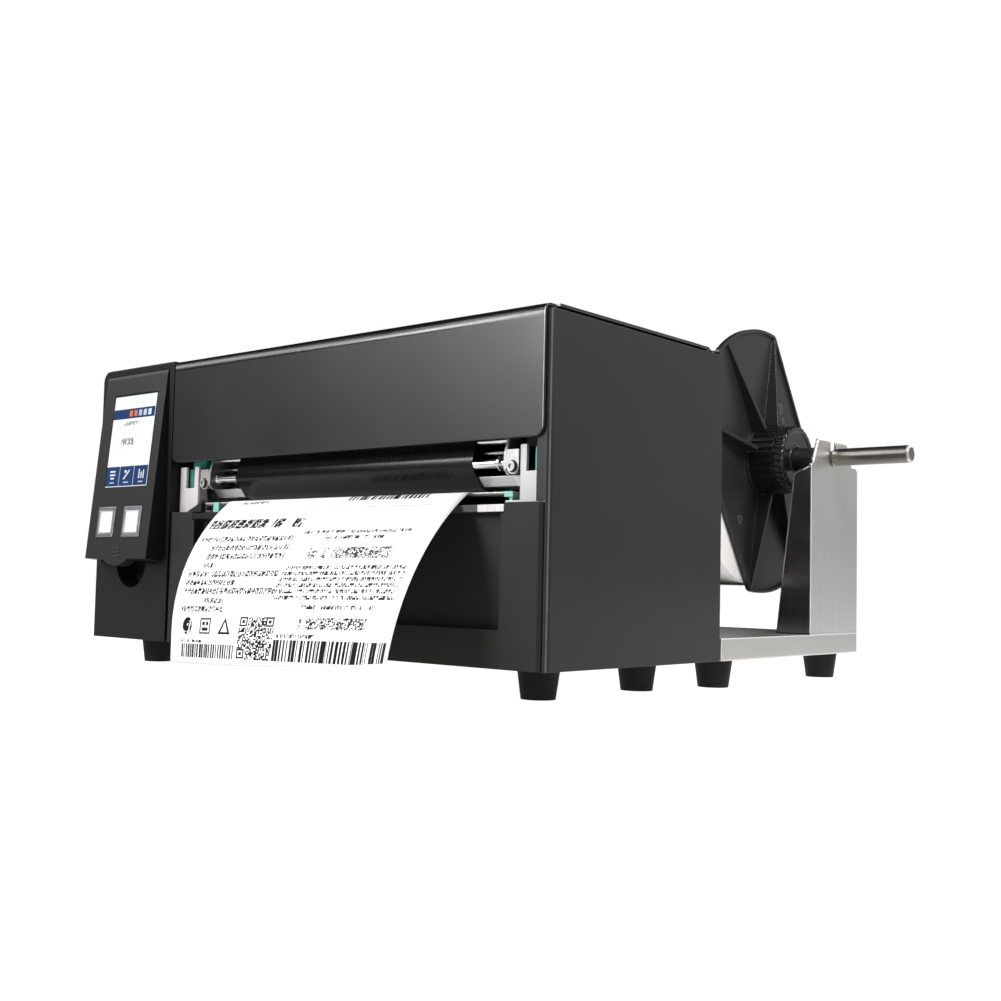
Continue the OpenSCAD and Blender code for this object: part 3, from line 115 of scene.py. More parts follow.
class Finish:
    """The finish of one kind of piece, built up from nodes."""

    def __init__(self, name, **fixed):
        self.material = bpy.data.materials.new(name)
        self.material.use_nodes = True
        self.tree = self.material.node_tree
        self.shader = self.tree.nodes["Principled BSDF"]
        self.give(self.shader, {key.replace("_", " "): value for key, value in fixed.items()})

    def node(self, kind, settings=None, inputs=None, out=0):
        made = self.tree.nodes.new("ShaderNode" + kind)
        for key, value in (settings or {}).items():
            setattr(made, key, value)
        self.give(made, inputs or {})
        return Reading(self, made.outputs[out])

    def give(self, made, inputs):
        for key, value in inputs.items():
            if isinstance(value, Reading):
                self.tree.links.new(value.socket, made.inputs[key])
            else:
                made.inputs[key].default_value = value

    def maths(self, operation, a, b):
        return self.node("Math", {"operation": operation}, {0: a, 1: b})

    def mix(self, share, a, b):
        colours = [c if isinstance(c, Reading) else (*c, 1) for c in (a, b)]
        return self.node("Mix", {"data_type": "RGBA"}, {0: share, 6: colours[0], 7: colours[1]}, out=2)

    def place(self, scale=(1, 1, 1), turn=(0, 0, 0), move=(0, 0, 0)):
        here = self.node("TexCoord", out="Object")
        return self.node("Mapping", {}, {"Vector": here, "Scale": scale, "Rotation": turn, "Location": move})

    def axes(self, vector):
        """The three coordinates of a vector."""
        split = self.node("SeparateXYZ", {}, {0: vector}).socket.node
        return [Reading(self, socket) for socket in split.outputs]

    def noise(self, vector, scale, detail=3, rough=0.5):
        return self.node("TexNoise", {}, {"Vector": vector, "Scale": scale, "Detail": detail, "Roughness": rough})

    def rounded(self, radius):
        """The normal that the surface would have if its edges had that radius."""
        return self.node("Bevel", {"samples": 6}, {"Radius": radius})

    def edge(self, rounded):
        """How far such a normal is turned from the true one, from 0 in the flat."""
        flat = self.node("NewGeometry", out="Normal")
        return 1 - self.node("VectorMath", {"operation": "DOT_PRODUCT"}, {0: rounded, 1: flat}, out=1)

    def turned(self, normal, source, target):
        """A normal of one space, WORLD or OBJECT, in the other."""
        spaces = {"vector_type": "NORMAL", "convert_from": source, "convert_to": target}
        return self.node("VectorTransform", spaces, {0: normal})

    def faces(self):
        """How far the surface faces along each axis of its own piece, in any pose."""
        return self.axes(self.turned(self.node("NewGeometry", out="Normal"), "WORLD", "OBJECT"))

    def bump(self, height, strength, distance, under=None):
        inputs = {"Strength": strength, "Distance": distance, "Height": height}
        if under:
            inputs["Normal"] = under
        return self.node("Bump", {}, inputs)

    def surface(self, **values):
        self.give(self.shader, {key.replace("_", " "): value for key, value in values.items()})

    def dress(self, *nodes):
        for name in nodes:
            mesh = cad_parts[name].data
            mesh.materials.clear()
            mesh.materials.append(self.material)


def powder_coat(name, colour, thin_paint_and_sheen, gloss, shine, dust, varnish, bend, highlight_width, highlight_tone):
    """Satin paint: colour in the flat, paler on the edges, with roughness gloss, pale dust and a smooth top.

    The paler edges are partly thin paint and partly a painted highlight. Over the height bend under the lid's top
    the front is shaded as a soft fold, with little varnish left on it. The upright folds at the machine's right
    carry a painted highlight of the given highlight tone over the given share of them."""
    coat = Finish(name, Specular_IOR_Level=shine, Coat_Roughness=0.12)
    here = coat.place()
    peel = coat.noise(here, 1500, 2)
    cloud = coat.noise(here, 14, 5, 0.6)
    specks = coat.noise(here, 700, 1) > 0.74
    rounded = coat.rounded(0.0009)
    edge = coat.edge(rounded)
    along, _, height = coat.axes(here)
    sideways, forward, _ = coat.faces()
    lid_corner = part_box("lid")[1]
    fold_end, face_highlight_from, corner_highlight_from = (lid_corner.x - inset for inset in (0.00345, 0.00395, 0.00725))
    climb = (1 - ((lid_corner.z - height) / bend).either(0.2)).either(0)
    level = (1 - climb * climb).either(0) ** 0.5
    formed = coat.turned(coat.node("CombineXYZ", {}, {0: 0.0, 1: 0 - level, 2: climb}), "OBJECT", "WORLD")
    fold = (climb > 0) * (forward < -0.05) * (along < fold_end)
    folded = coat.node("Mix", {"data_type": "VECTOR"}, {0: fold, 4: rounded, 5: formed}, out=1)
    wear_and_sheen = coat.noise(here, 90, 4)
    flat = coat.mix(cloud, [c * 0.82 for c in colour], [c * 1.18 for c in colour])
    flat = coat.mix(specks * dust, flat, (0.16, 0.16, 0.16))
    # Edges go paler: partly thin paint, partly a painted highlight.
    flat = coat.mix(edge * (0.5 + wear_and_sheen) * 1.6, flat, thin_paint_and_sheen)
    # Painted highlight: the upright folds at the right and the lid's front near its right edge are painted towards
    # the highlight tone.
    corner = abs(sideways * forward) > 0.5 - highlight_width
    corner = corner.either((forward < -0.9) * (along > face_highlight_from) * (highlight_width * 2))
    painted_highlight = corner * (along > corner_highlight_from) * (0.4 + wear_and_sheen)
    coat.surface(Base_Color=coat.mix(painted_highlight, flat, (highlight_tone, highlight_tone, highlight_tone * 1.03)),
                 Roughness=gloss + cloud * 0.1 - edge * 0.15 - fold * 0.15,
                 Coat_Weight=(1 - fold * 0.8) * varnish,
                 Normal=coat.bump(peel, 0.12, 0.0002, folded))
    return coat


cover_coat = powder_coat("cover coat", (0.008, 0.008, 0.0084), (0.09, 0.09, 0.095), gloss=0.42, shine=0.36,
                         dust=0.1, varnish=0.1, bend=0.002, highlight_width=0.03, highlight_tone=0.1)
cover_coat.dress("base_pan", "right_side_cover", "left_cover", "rear_panel")
lid_coat = powder_coat("lid coat", (0.006, 0.006, 0.0067), (0.16, 0.16, 0.17), gloss=0.33, shine=0.45,
                       dust=0.1, varnish=0.45, bend=0.0076, highlight_width=0.38, highlight_tone=0.7)
lid_coat.dress("lid")


# Moulded covers
# The lower front, the control column, the tilting panel's housing and the mains inlet with its rocker are
# moulded in near black plastic with a fine spark-eroded grain, and clip and screw onto the sheet covers.
def moulded_grain(name, colour, gloss, grain, shine, skin=0.0, side_shade=0.0):
    """Moulded plastic of one colour with an eroded grain, edges painted paler as a painted highlight, and some smooth
    skin.

    The last argument is how much rougher the faces to the left and right are, and how much painted shade darkens
    them."""
    plastic = Finish(name, Specular_IOR_Level=shine, Coat_Weight=skin, Coat_Roughness=0.2)
    here = plastic.place()
    pits = plastic.node("TexVoronoi", {"feature": "SMOOTH_F1"}, {"Vector": here, "Scale": 1700})
    fine = plastic.noise(here, 2600, 2)
    cloud = plastic.noise(here, 22, 4)
    rounded = plastic.rounded(0.0008)
    edge = plastic.edge(rounded)
    body = plastic.mix(cloud, [c * 0.86 for c in colour], [c * 1.14 for c in colour])
    # Edges are painted paler: a painted highlight.
    body = plastic.mix(edge * 1.1, body, [c * 2.6 for c in colour])
    # Painted shade: faces to the left and right are darkened towards black.
    sideways = abs(plastic.faces()[0]) > 0.8
    plastic.surface(Base_Color=plastic.mix(sideways * side_shade, body, (0.002, 0.002, 0.002)),
                    Roughness=gloss + fine * 0.16 - edge * 0.12 + sideways * (side_shade * 0.4),
                    Normal=plastic.bump(pits + fine, grain, 0.00015, rounded))
    return plastic


moulded_grain("lower front grain", (0.008, 0.008, 0.008), 0.5, 0.16, 0.3).dress("front_lower_cover")
column_grain = moulded_grain("column grain", (0.007, 0.007, 0.0073), 0.46, 0.16, 0.14, 0.05)
column_grain.dress("column_bezel")
moulded_grain("panel grain", (0.010, 0.010, 0.0105), 0.42, 0.14, 0.27, side_shade=0.9).dress("panel_shell", "panel_back")
moulded_grain("inlet grain", (0.012, 0.012, 0.012), 0.4, 0.08, 0.4).dress("power_inlet", "power_switch")


# Rear screws
# Low button-head screws of blackened steel with a round socket hold the rear panel to the covers. They are
# headed cold, and turn into threads pressed into the covers' flanges.
def button_screw(name):
    """One screw at the origin, its head towards positive y."""
    bpy.ops.object.select_all(action="DESELECT")
    bpy.ops.mesh.primitive_cylinder_add(vertices=32, radius=0.0029, depth=0.0012, rotation=(math.radians(-90), 0, 0))
    piece = bpy.context.object
    piece.name = name
    bpy.ops.object.transform_apply(location=False, rotation=True, scale=True)
    for face in piece.data.polygons:
        face.select = face.normal.y > 0.9
    bpy.ops.object.mode_set(mode="EDIT")
    bpy.ops.mesh.select_mode(type="FACE")
    bpy.ops.mesh.bevel(offset=0.0005, segments=3)
    bpy.ops.object.mode_set(mode="OBJECT")
    widest = max(piece.data.polygons, key=lambda face: face.area * (face.normal.y > 0.9))
    for face in piece.data.polygons:
        face.select = face.index == widest.index
    bpy.ops.object.mode_set(mode="EDIT")
    bpy.ops.mesh.inset(thickness=0.0010)
    bpy.ops.mesh.extrude_region_move(TRANSFORM_OT_translate={"value": (0, -0.0007, 0)})
    bpy.ops.object.mode_set(mode="OBJECT")
    bpy.ops.object.shade_smooth_by_angle(angle=math.radians(35))
    return piece


screw_black = Finish("black screw", Metallic=0.8)
blacking = screw_black.noise(screw_black.place(), 900, 2)
screw_black.surface(Base_Color=screw_black.mix(blacking, (0.03, 0.03, 0.03), (0.08, 0.08, 0.085)),
                    Roughness=0.3 + blacking * 0.15,
                    Normal=screw_black.bump(blacking, 0.06, 0.0001, screw_black.rounded(0.0003)))
first_screw = button_screw("rear_screw_1")
screw_shape = first_screw.data.copy()
back_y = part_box("rear_panel")[1].y
places = ((-0.238, 0.206), (-0.1, 0.206), (0.03, 0.206), (0.178, 0.206), (-0.238, 0.022), (0.178, 0.022))
for count, (x, z) in enumerate(places):
    screw = first_screw
    if count:
        screw = bpy.data.objects.new("rear_screw_%d" % (count + 1), screw_shape.copy())
        bpy.context.collection.objects.link(screw)
    bpy.ops.object.select_all(action="DESELECT")
    screw.select_set(True)
    bpy.context.view_layer.objects.active = screw
    bpy.ops.transform.translate(value=(x, back_y + 0.0004, z))
    bpy.ops.object.transform_apply(location=True, rotation=True, scale=True)
    screw.data.materials.append(screw_black.material)
    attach(screw, "chassis")


# Panel seal
# A strip moulded with the column closes the gap over the tilting panel's round top edge, and follows that
# edge a quarter of a millimetre away.
bay_x, front_y = 14.75, -191.579


def at(x, y, z):
    """Machine millimetres, from the middle of the bay, the front plane and the table, in the row frame."""
    return Vector(((x + bay_x) / 1000, (y + front_y) / 1000, z / 1000))


low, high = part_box("panel_shell")
tilt_y, tilt_z, seal_r = 4.2, 209.8, 5.45
profile = [(tilt_y - seal_r * math.cos(math.radians(a)), tilt_z + seal_r * math.sin(math.radians(a)))
           for a in (40, 47, 54, 61, 68, 75)] + [(2.8, 215.26), (0.5, 215.26), (0.03, 214.9)]
bpy.ops.object.select_all(action="DESELECT")
bpy.ops.mesh.primitive_circle_add(vertices=len(profile), fill_type="NGON")
seal = bpy.context.object
seal.name = "panel_seal"
for corner, (y, z) in zip(seal.data.vertices, profile):
    corner.co = at(0, y, z)
    corner.co.x = low.x + 0.0004
bpy.ops.object.mode_set(mode="EDIT")
bpy.ops.mesh.select_all(action="SELECT")
bpy.ops.mesh.extrude_region_move(TRANSFORM_OT_translate={"value": (high.x - low.x - 0.0008, 0, 0)})
bpy.ops.mesh.select_all(action="SELECT")
bpy.ops.mesh.normals_make_consistent(inside=False)
bpy.ops.object.mode_set(mode="OBJECT")
bpy.ops.object.shade_smooth_by_angle(angle=math.radians(35))
seal.data.materials.append(column_grain.material)
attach(seal, "chassis")


# Frame plates and plated boxes
# The two side plates of the mechanism, the boxed power supply and the connector shells are zinc plated
# steel with a faint spangle; they are screwed down inside the covers.
zinc = Finish("zinc plate", Metallic=1.0)
spangle = zinc.axes(zinc.node("TexVoronoi", {}, {"Vector": zinc.place(), "Scale": 160}, out="Color"))[0]
scuff = zinc.noise(zinc.place((60, 60, 900)), 1, 4)
zinc.surface(Base_Color=zinc.mix(spangle, (0.46, 0.46, 0.47), (0.60, 0.60, 0.60)),
             Roughness=0.3 + spangle * 0.14 + scuff * 0.1,
             Normal=zinc.bump(scuff, 0.05, 0.0001, zinc.rounded(0.0004)))
zinc.dress("left_frame_plate", "right_frame_plate", "power_supply", "interface_ports")


# Head brackets and tear plate
# A pale nickel plated bracket stands at each end of the label slot, pressed from 2 mm sheet with a deep
# notch for the release lever, and screwed to the ledge of the lower front. The tear plate is plated alike.
def pale_nickel(name, low, high):
    """Dull nickel plate between two tones, with faint drawn lines."""
    nickel = Finish(name, Metallic=0.35)
    drawn = nickel.noise(nickel.place((300, 300, 2600)), 1, 3)
    cloud = nickel.noise(nickel.place(), 60, 3)
    rounded = nickel.rounded(0.0006)
    nickel.surface(Base_Color=nickel.mix(cloud, low, high),
                   Roughness=0.3 + drawn * 0.16 - nickel.edge(rounded) * 0.1,
                   Normal=nickel.bump(drawn, 0.06, 0.0001, rounded))
    return nickel


# The two brackets get shaded and lit copies of one nickel: the right one is painted darker as painted shade, the left
# one paler as painted light.
pale_nickel("right bracket shaded nickel", (0.45, 0.44, 0.445), (0.55, 0.54, 0.545)).dress("bracket_right")
pale_nickel("left bracket lit nickel", (0.69, 0.645, 0.665), (0.80, 0.755, 0.775)).dress("bracket_left")
pale_nickel("tear plate nickel", (0.62, 0.60, 0.60), (0.78, 0.76, 0.76)).dress("tear_plate")


# Apron strip
# A pressed strip runs under the tear plate along the ledge. Its tone is painted light and shade: its right
# end is painted bright, and the rest is painted dark, darkest towards the left.
strip = Finish("apron strip plate", Metallic=0.35)
along = strip.axes(strip.place())[0]
lit_from, deeper_shade_until = 0.138, -0.08
streaks = strip.noise(strip.place((1500, 80, 80)), 1, 3)
# Painted shade: the strip is near black, darker still towards its left end.
black = strip.mix((along > deeper_shade_until) * (0.5 + streaks), (0.006, 0.006, 0.006), (0.05, 0.05, 0.052))
painted_bright = strip.mix(streaks, (0.50, 0.47, 0.48), (0.72, 0.69, 0.70))
# Painted light: the strip's right end takes the bright tone.
strip.surface(Base_Color=strip.mix(along > lit_from, black, painted_bright),
              Roughness=0.34 + streaks * 0.16,
              Normal=strip.bump(streaks, 0.08, 0.0001, strip.rounded(0.0004)))
strip.dress("apron_strip")


# Eye plates of the ribbon rods
# At each end of the slot a pressed plate holds the rods and a screw through its eye. The plate's front is pale,
# its folded legs are painted dark as painted shade, and a dark ring is painted round the screw.
eye = Finish("eye plate", Metallic=0.6)
eye_x, eye_z = 0.1415, 0.1301
across, _, rise = eye.axes(eye.place(move=(-bay_x / 1000, 0, -eye_z)))
aside = abs(across) - eye_x
from_eye = aside * aside + rise * rise
# A dark ring is painted round the screw's eye.
dark_ring = (from_eye > 0.0028 ** 2) * (from_eye < 0.0036 ** 2)
# Painted shade: the folded legs are painted dark.
shaded_leg = abs(eye.faces()[0]) > 0.7
smear = eye.noise(eye.place(), 420, 4)
front = eye.mix(smear, (0.42, 0.41, 0.42), (0.74, 0.72, 0.73))
plate = eye.mix(shaded_leg, front, eye.mix(smear, (0.06, 0.06, 0.06), (0.2, 0.2, 0.2)))
eye.surface(Base_Color=eye.mix(dark_ring, plate, (0.05, 0.05, 0.05)),
            Roughness=0.22 + smear * 0.2,
            Normal=eye.bump(smear, 0.1, 0.0002, eye.rounded(0.0004)))
eye.dress("rod_plates")


# Bright rods and shafts
# The ribbon rods, pins, shafts, pulleys and the stand's screws are turned or ground from bright steel, with
# fine marks round them, and a light smear of oil from handling.
bright = Finish("ground steel", Metallic=1.0)
marks = bright.noise(bright.place((2200, 120, 120)), 1, 3)
smear = bright.noise(bright.place(), 45, 4)
bright.surface(Base_Color=bright.mix(smear, (0.62, 0.62, 0.63), (0.86, 0.86, 0.87)),
               Roughness=0.1 + marks * 0.14 + smear * 0.06,
               Normal=bright.bump(marks, 0.04, 0.0001, bright.rounded(0.0004)))
bright.dress("hinge_pins", "head_pivot_shaft", "media_guide_bar", "ribbon_rods", "platen_shaft",
             "stand_screws", "platen_pulley", "motor_pulley")


# Teal touch points
# What the operator handles inside the slot is moulded in teal: the two release levers, each with a dished
# grip pad behind the bracket's notch, and the small pale clips that hold the tear plate's ends.
def teal_plastic(name, low, high, shade_above=1.0, foot=0.0):
    """Teal plastic between two tones, painted black as painted shadow above the given height, with a steel foot below
    foot.
    """
    teal = Finish(name, Specular_IOR_Level=0.5)
    height = teal.axes(teal.place())[2]
    cloud = teal.noise(teal.place(), 180, 3)
    steel = teal.mix(cloud, (0.42, 0.40, 0.41), (0.6, 0.57, 0.58))
    body = teal.mix(height < foot, teal.mix(cloud, low, high), steel)
    # Above the given height the plastic is painted black: painted shadow.
    teal.surface(Base_Color=teal.mix(height > shade_above, body, (0.008, 0.008, 0.008)),
                 Roughness=0.34 + cloud * 0.12,
                 Normal=teal.bump(cloud, 0.05, 0.0002, teal.rounded(0.0005)))
    return teal


def dished_block(name, low, high, dish, round_off):
    """A block between two corners in machine millimetres, with a dished front and rounded edges."""
    low, high = at(*low), at(*high)
    bpy.ops.object.select_all(action="DESELECT")
    bpy.ops.mesh.primitive_cube_add(size=1, location=(low + high) / 2)
    piece = bpy.context.object
    piece.name = name
    piece.scale = high - low
    bpy.ops.object.transform_apply(location=True, rotation=True, scale=True)
    for face in piece.data.polygons:
        face.select = face.normal.y < -0.9
    bpy.ops.object.mode_set(mode="EDIT")
    bpy.ops.mesh.select_mode(type="FACE")
    bpy.ops.mesh.inset(thickness=dish * 2)
    bpy.ops.transform.translate(value=(0, dish, 0))
    bpy.ops.object.mode_set(mode="OBJECT")
    soften = piece.modifiers.new("soften", "BEVEL")
    soften.width = round_off
    soften.segments = 2
    bpy.ops.object.modifier_apply(modifier="soften")
    bpy.ops.object.shade_smooth_by_angle(angle=math.radians(35))
    return piece


lever_foot = 0.1268
teal_plastic("pale clip plastic", (0.20, 0.50, 0.43), (0.34, 0.66, 0.57)).dress("plate_clips")
# The levers get lit and shaded copies of the teal: the left one is painted darker as painted shade, the right one
# paler as painted light.
teal_plastic("left lever shaded plastic", (0.03, 0.27, 0.23), (0.06, 0.38, 0.33), foot=lever_foot).dress(
    "release_lever_left")
# The right lever is painted black above 0.1405 m: painted shadow of the lid.
teal_plastic("right lever lit plastic", (0.045, 0.36, 0.31), (0.075, 0.46, 0.41), 0.1405, lever_foot).dress(
    "release_lever_right")
# The grip pads likewise: the left pad is painted dark as painted shade, the right pad pale as painted light.
for side, x0, x1, low, high in (("left", -161.6, -151.6, (0.012, 0.12, 0.10), (0.03, 0.20, 0.17)),
                                ("right", 155.9, 161.6, (0.09, 0.42, 0.38), (0.15, 0.54, 0.49))):
    pad = dished_block(side + "_grip_pad", (x0, 10.2, 127.6), (x1, 13.1, 140.6), 0.0004, 0.0005)
    pad.data.materials.append(teal_plastic(side + " grip plastic", low, high).material)
    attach(pad, side + "_lever")


# Drive
# A black square stepping motor turns the platen through a toothed belt and two pulleys, and the platen's
# shaft runs in two sintered bronze bushes.
bronze = Finish("bush bronze", Metallic=1.0)
pores = bronze.node("TexVoronoi", {}, {"Vector": bronze.place(), "Scale": 1400})
bronze.surface(Base_Color=bronze.mix(pores, (0.26, 0.17, 0.08), (0.5, 0.36, 0.19)),
               Roughness=0.36 + pores * 0.2,
               Normal=bronze.bump(pores, 0.1, 0.0001))
bronze.dress("platen_bearings")
stator = Finish("motor black", Metallic=0.2)
laminate = stator.node("TexWave", {"bands_direction": "X"}, {"Vector": stator.place(), "Scale": 620.0,
                                                            "Distortion": 0.4})
stator.surface(Base_Color=stator.mix(laminate, (0.02, 0.02, 0.021), (0.04, 0.04, 0.042)),
               Roughness=0.42 + laminate * 0.12,
               Normal=stator.bump(laminate, 0.25, 0.0002, stator.rounded(0.0008)))
stator.dress("drive_motor")


# Rubber
# The feet of the machine and the stand, the platen's sleeve and the drive belt are moulded in black rubber,
# matt, with a fine bloom on it. The feet are pressed on, and the sleeve is ground true on its shaft.
rubber = Finish("black rubber", Specular_IOR_Level=0.22)
here = rubber.place()
bloom = rubber.noise(here, 60, 5)
pits = rubber.noise(here, 1900, 2)
rounded = rubber.rounded(0.0009)
rubber.surface(Base_Color=rubber.mix(bloom, (0.003, 0.003, 0.003), (0.009, 0.009, 0.009)),
               Roughness=0.5 + bloom * 0.25 - rubber.edge(rounded) * 0.2,
               Normal=rubber.bump(pits, 0.1, 0.0002, rounded))
rubber.dress("printer_feet", "stand_feet", "platen_roller", "drive_belt")


# Control board and print head
# The control board and the head's own board are glass fibre laminate with copper tracks, under a green solder
# mask. The control board stands on posts behind the power supply, and the head's board is under its carrier.
board = Finish("solder mask", Specular_IOR_Level=0.5)
here = board.place()
tracks = board.node("TexBrick", {"offset": 0.37, "squash": 1.6}, {"Vector": here, "Scale": 95.0,
                    "Mortar Size": 0.035, "Color1": (0, 0, 0, 1), "Color2": (0.35, 0.35, 0.35, 1),
                    "Mortar": (1, 1, 1, 1)}, out="Fac")
cloud = board.noise(here, 50, 3)
mask = board.mix(cloud, (0.006, 0.07, 0.035), (0.01, 0.10, 0.05))
board.surface(Base_Color=board.mix(tracks, mask, (0.05, 0.20, 0.09)),
              Roughness=0.3 + cloud * 0.15,
              Normal=board.bump(tracks, 0.15, 0.0001))
board.dress("main_board", "print_head")


# Head carrier
# An extruded aluminium bar carries the print line and swings on two arms. Its right end is sawn and blasted
# paler than the drawn sides.
carrier = Finish("carrier aluminium", Metallic=1.0)
drawn = carrier.noise(carrier.place((60, 1800, 1800)), 1, 3)
bare_end = carrier.axes(carrier.place())[0] > 0.1502
tone = carrier.mix(drawn, (0.58, 0.58, 0.59), (0.76, 0.76, 0.77))
carrier.surface(Base_Color=carrier.mix(bare_end, tone, (0.90, 0.93, 0.92)),
                Roughness=0.3 + drawn * 0.16 + bare_end * 0.25,
                Normal=carrier.bump(drawn, 0.08, 0.0001, carrier.rounded(0.0006)))
carrier.dress("head_carrier")


# Ribbon coils and film
# Thin black coated film runs from the supply coil over two rods and under the head to the rewind coil.
# The coils show their wound edges; the film is a sheet that stands for its stiff solid.
def arc_points(centre, radius, first, last, steps):
    """Points of an arc in the machine's side view, angles in degrees."""
    angles = [math.radians(first + (last - first) * i / steps) for i in range(steps + 1)]
    return [(centre[0] + radius * math.cos(a), centre[1] + radius * math.sin(a)) for a in angles]


def straight(a, b, steps):
    """Points from a, which is left out, to b."""
    return [(a[0] + (b[0] - a[0]) * i / steps, a[1] + (b[1] - a[1]) * i / steps) for i in range(1, steps + 1)]


def hung_sheet(name, half_width, columns, path_at, zero):
    """A sheet across the machine. path_at(share) gives its side view, and zero the point that the map counts from."""
    rows = len(path_at(0))
    bpy.ops.object.select_all(action="DESELECT")
    bpy.ops.mesh.primitive_grid_add(x_subdivisions=columns, y_subdivisions=rows - 1, size=1)
    piece = bpy.context.object
    piece.name = name
    run = {}
    for column in range(columns + 1):
        share = column / columns
        path = path_at(share)
        length = [0]
        for a, b in zip(path, path[1:]):
            length.append(length[-1] + math.dist(a, b))
        for row, (y, z) in enumerate(path):
            index = row * (columns + 1) + column
            piece.data.vertices[index].co = at((2 * share - 1) * half_width, y, z)
            run[index] = (2 * half_width * share / 1000, (length[row] - length[zero]) / 1000)
    flat_map = piece.data.uv_layers.active
    for loop in piece.data.loops:
        flat_map.data[loop.index].uv = run[loop.vertex_index]
    bpy.ops.object.mode_set(mode="EDIT")
    bpy.ops.mesh.select_all(action="SELECT")
    bpy.ops.mesh.flip_normals()
    bpy.ops.object.mode_set(mode="OBJECT")
    bpy.ops.object.shade_smooth()
    return piece, length[-1] / 1000


def film_path(share):
    """The film's side view from the supply coil to the rewind coil, the same all the way across."""
    upper_rod, lower_rod = (16, 146), (13, 132.5)
    supply_coil, rewind_coil = (53.05, 193.92), (135.216, 171.182)
    head_nose, head_front, head_back = (19.4, 119.7), (26.5, 117.25), (48.5, 117.25)
    upper = arc_points(upper_rod, 2.45, 139.97, 190, 5)
    lower = arc_points(lower_rod, 2.95, 176, 212, 5)
    return ([supply_coil] + straight(supply_coil, upper[0], 6) + upper[1:]
            + straight(upper[-1], lower[0], 3) + lower[1:] + straight(lower[-1], head_nose, 5)
            + straight(head_nose, head_front, 3) + straight(head_front, head_back, 4)
            + straight(head_back, rewind_coil, 8))


film, film_length = hung_sheet("ribbon_sheet", 109, 24, film_path, 0)
ribbon = Finish("coated film", Specular_IOR_Level=0.15)
run = ribbon.node("UVMap")
streak = ribbon.noise(ribbon.node("Mapping", {}, {"Vector": run, "Scale": (260, 3, 1)}), 1, 4)
wave = ribbon.noise(ribbon.node("Mapping", {}, {"Vector": run, "Scale": (26, 14, 1)}), 1, 2)
ribbon.surface(Base_Color=ribbon.mix(streak, (0.004, 0.004, 0.0045), (0.010, 0.010, 0.011)),
               Roughness=0.15 + streak * 0.08,
               Normal=ribbon.bump(wave, 0.18, 0.0012))
film.data.materials.append(ribbon.material)
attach(film, "head")
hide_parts("ribbon_film")


def wound(name, node, inner, outer, gloss, pitch):
    """Dress a coil: its edge shows rings round its own axis, and its round face stays plain."""
    coil = Finish(name, Specular_IOR_Level=0.4)
    low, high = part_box(node)
    middle = (low + high) / 2
    local = coil.place(move=(-middle.x, -middle.y, -middle.z))
    flat = coil.node("VectorMath", {"operation": "MULTIPLY"}, {0: local, 1: (0, 1, 1)})
    radius = coil.node("VectorMath", {"operation": "LENGTH"}, {0: flat}, out=1)
    rings = coil.node("TexNoise", {"noise_dimensions": "1D"}, {"W": radius * pitch, "Detail": 5.0})
    edge_on = abs(coil.faces()[0]) > 0.7
    coil.surface(Base_Color=coil.mix(rings * edge_on, inner, outer),
                 Roughness=gloss + rings * 0.15,
                 Normal=coil.bump(rings * edge_on, 0.4, 0.0003))
    coil.dress(node)


for name, node in (("wound film", "supply_ribbon"), ("wound used film", "rewind_ribbon")):
    wound(name, node, (0.008, 0.008, 0.009), (0.03, 0.03, 0.032), 0.3, 2600)


# Roll stand
# A folded tray and two uprights of 2 mm stainless sheet, brushed, stand behind the machine and carry the
# steel roll shaft in two open notches. The brushing runs up the uprights and along the tray and shaft.
def brushed(name, grain, light, dark, gloss, polish, shadow_seam=-1.0):
    """Brushed stainless sheet; grain gives how fast the brush marks change along each axis.

    Faces across the machine have the roughness gloss, those to the front and back are as smooth as polish,
    the folds are painted near white as a painted highlight, and painted shade darkens the first millimetre over the
    seam height."""
    sheet = Finish(name)
    lines = sheet.noise(sheet.place(grain), 1, 4, 0.6)
    long_lines = sheet.noise(sheet.place([g * 0.3 for g in grain]), 1, 2)
    cloud = sheet.noise(sheet.place(), 35, 4)
    spots = sheet.noise(sheet.place(), 240, 2) > 0.69
    rounded = sheet.rounded(0.0018)
    sideways, forward, _ = sheet.faces()
    facing = abs(forward) > 0.7
    # Painted highlight: folds and edges not facing front or back are painted near white.
    fold = (abs(sideways * forward) > 0.12).either((sheet.edge(rounded) > 0.03) * (1 - facing))
    tone = sheet.mix(lines * 0.6 + long_lines * 0.4, dark, light)
    tone = sheet.mix(spots * 0.22, tone, (0.3, 0.29, 0.28))
    height = sheet.axes(sheet.place())[2]
    # Painted shade: the first millimetre over the seam is darkened.
    tone = sheet.mix((height < shadow_seam + 0.001) * 0.9, tone, (0.03, 0.03, 0.03))
    sheet.surface(Base_Color=sheet.mix(fold, tone, (0.9, 0.89, 0.87)),
                  Roughness=gloss + (polish - gloss) * facing + lines * 0.14 + cloud * 0.08,
                  Metallic=1 - fold * 0.85,
                  Normal=sheet.bump(lines, 0.12, 0.0001, rounded))
    return sheet


brushed("brushed upright", (2600, 2600, 40), (0.74, 0.725, 0.70), (0.5, 0.49, 0.475), 0.28, 0.08,
        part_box("stand_upright_right")[0].z).dress("stand_upright_left", "stand_upright_right")
brushed("brushed tray", (2600, 40, 2600), (0.66, 0.645, 0.62), (0.46, 0.45, 0.435), 0.28, 0.2).dress("stand_base")
brushed("ground shaft", (2800, 160, 160), (0.29, 0.275, 0.25), (0.15, 0.14, 0.13), 0.24, 0.24).dress("roll_shaft")


# Label roll and its core
# White label stock on a thin liner is wound on a core of grey-brown board, and its edge shows the layers. The
# roll is slid onto the shaft and held between the two flanges.
wound("wound labels", "paper_roll", (0.84, 0.83, 0.815), (0.74, 0.72, 0.69), 0.5, 900)
wound("core board", "roll_core", (0.36, 0.27, 0.18), (0.24, 0.17, 0.11), 0.7, 1500)


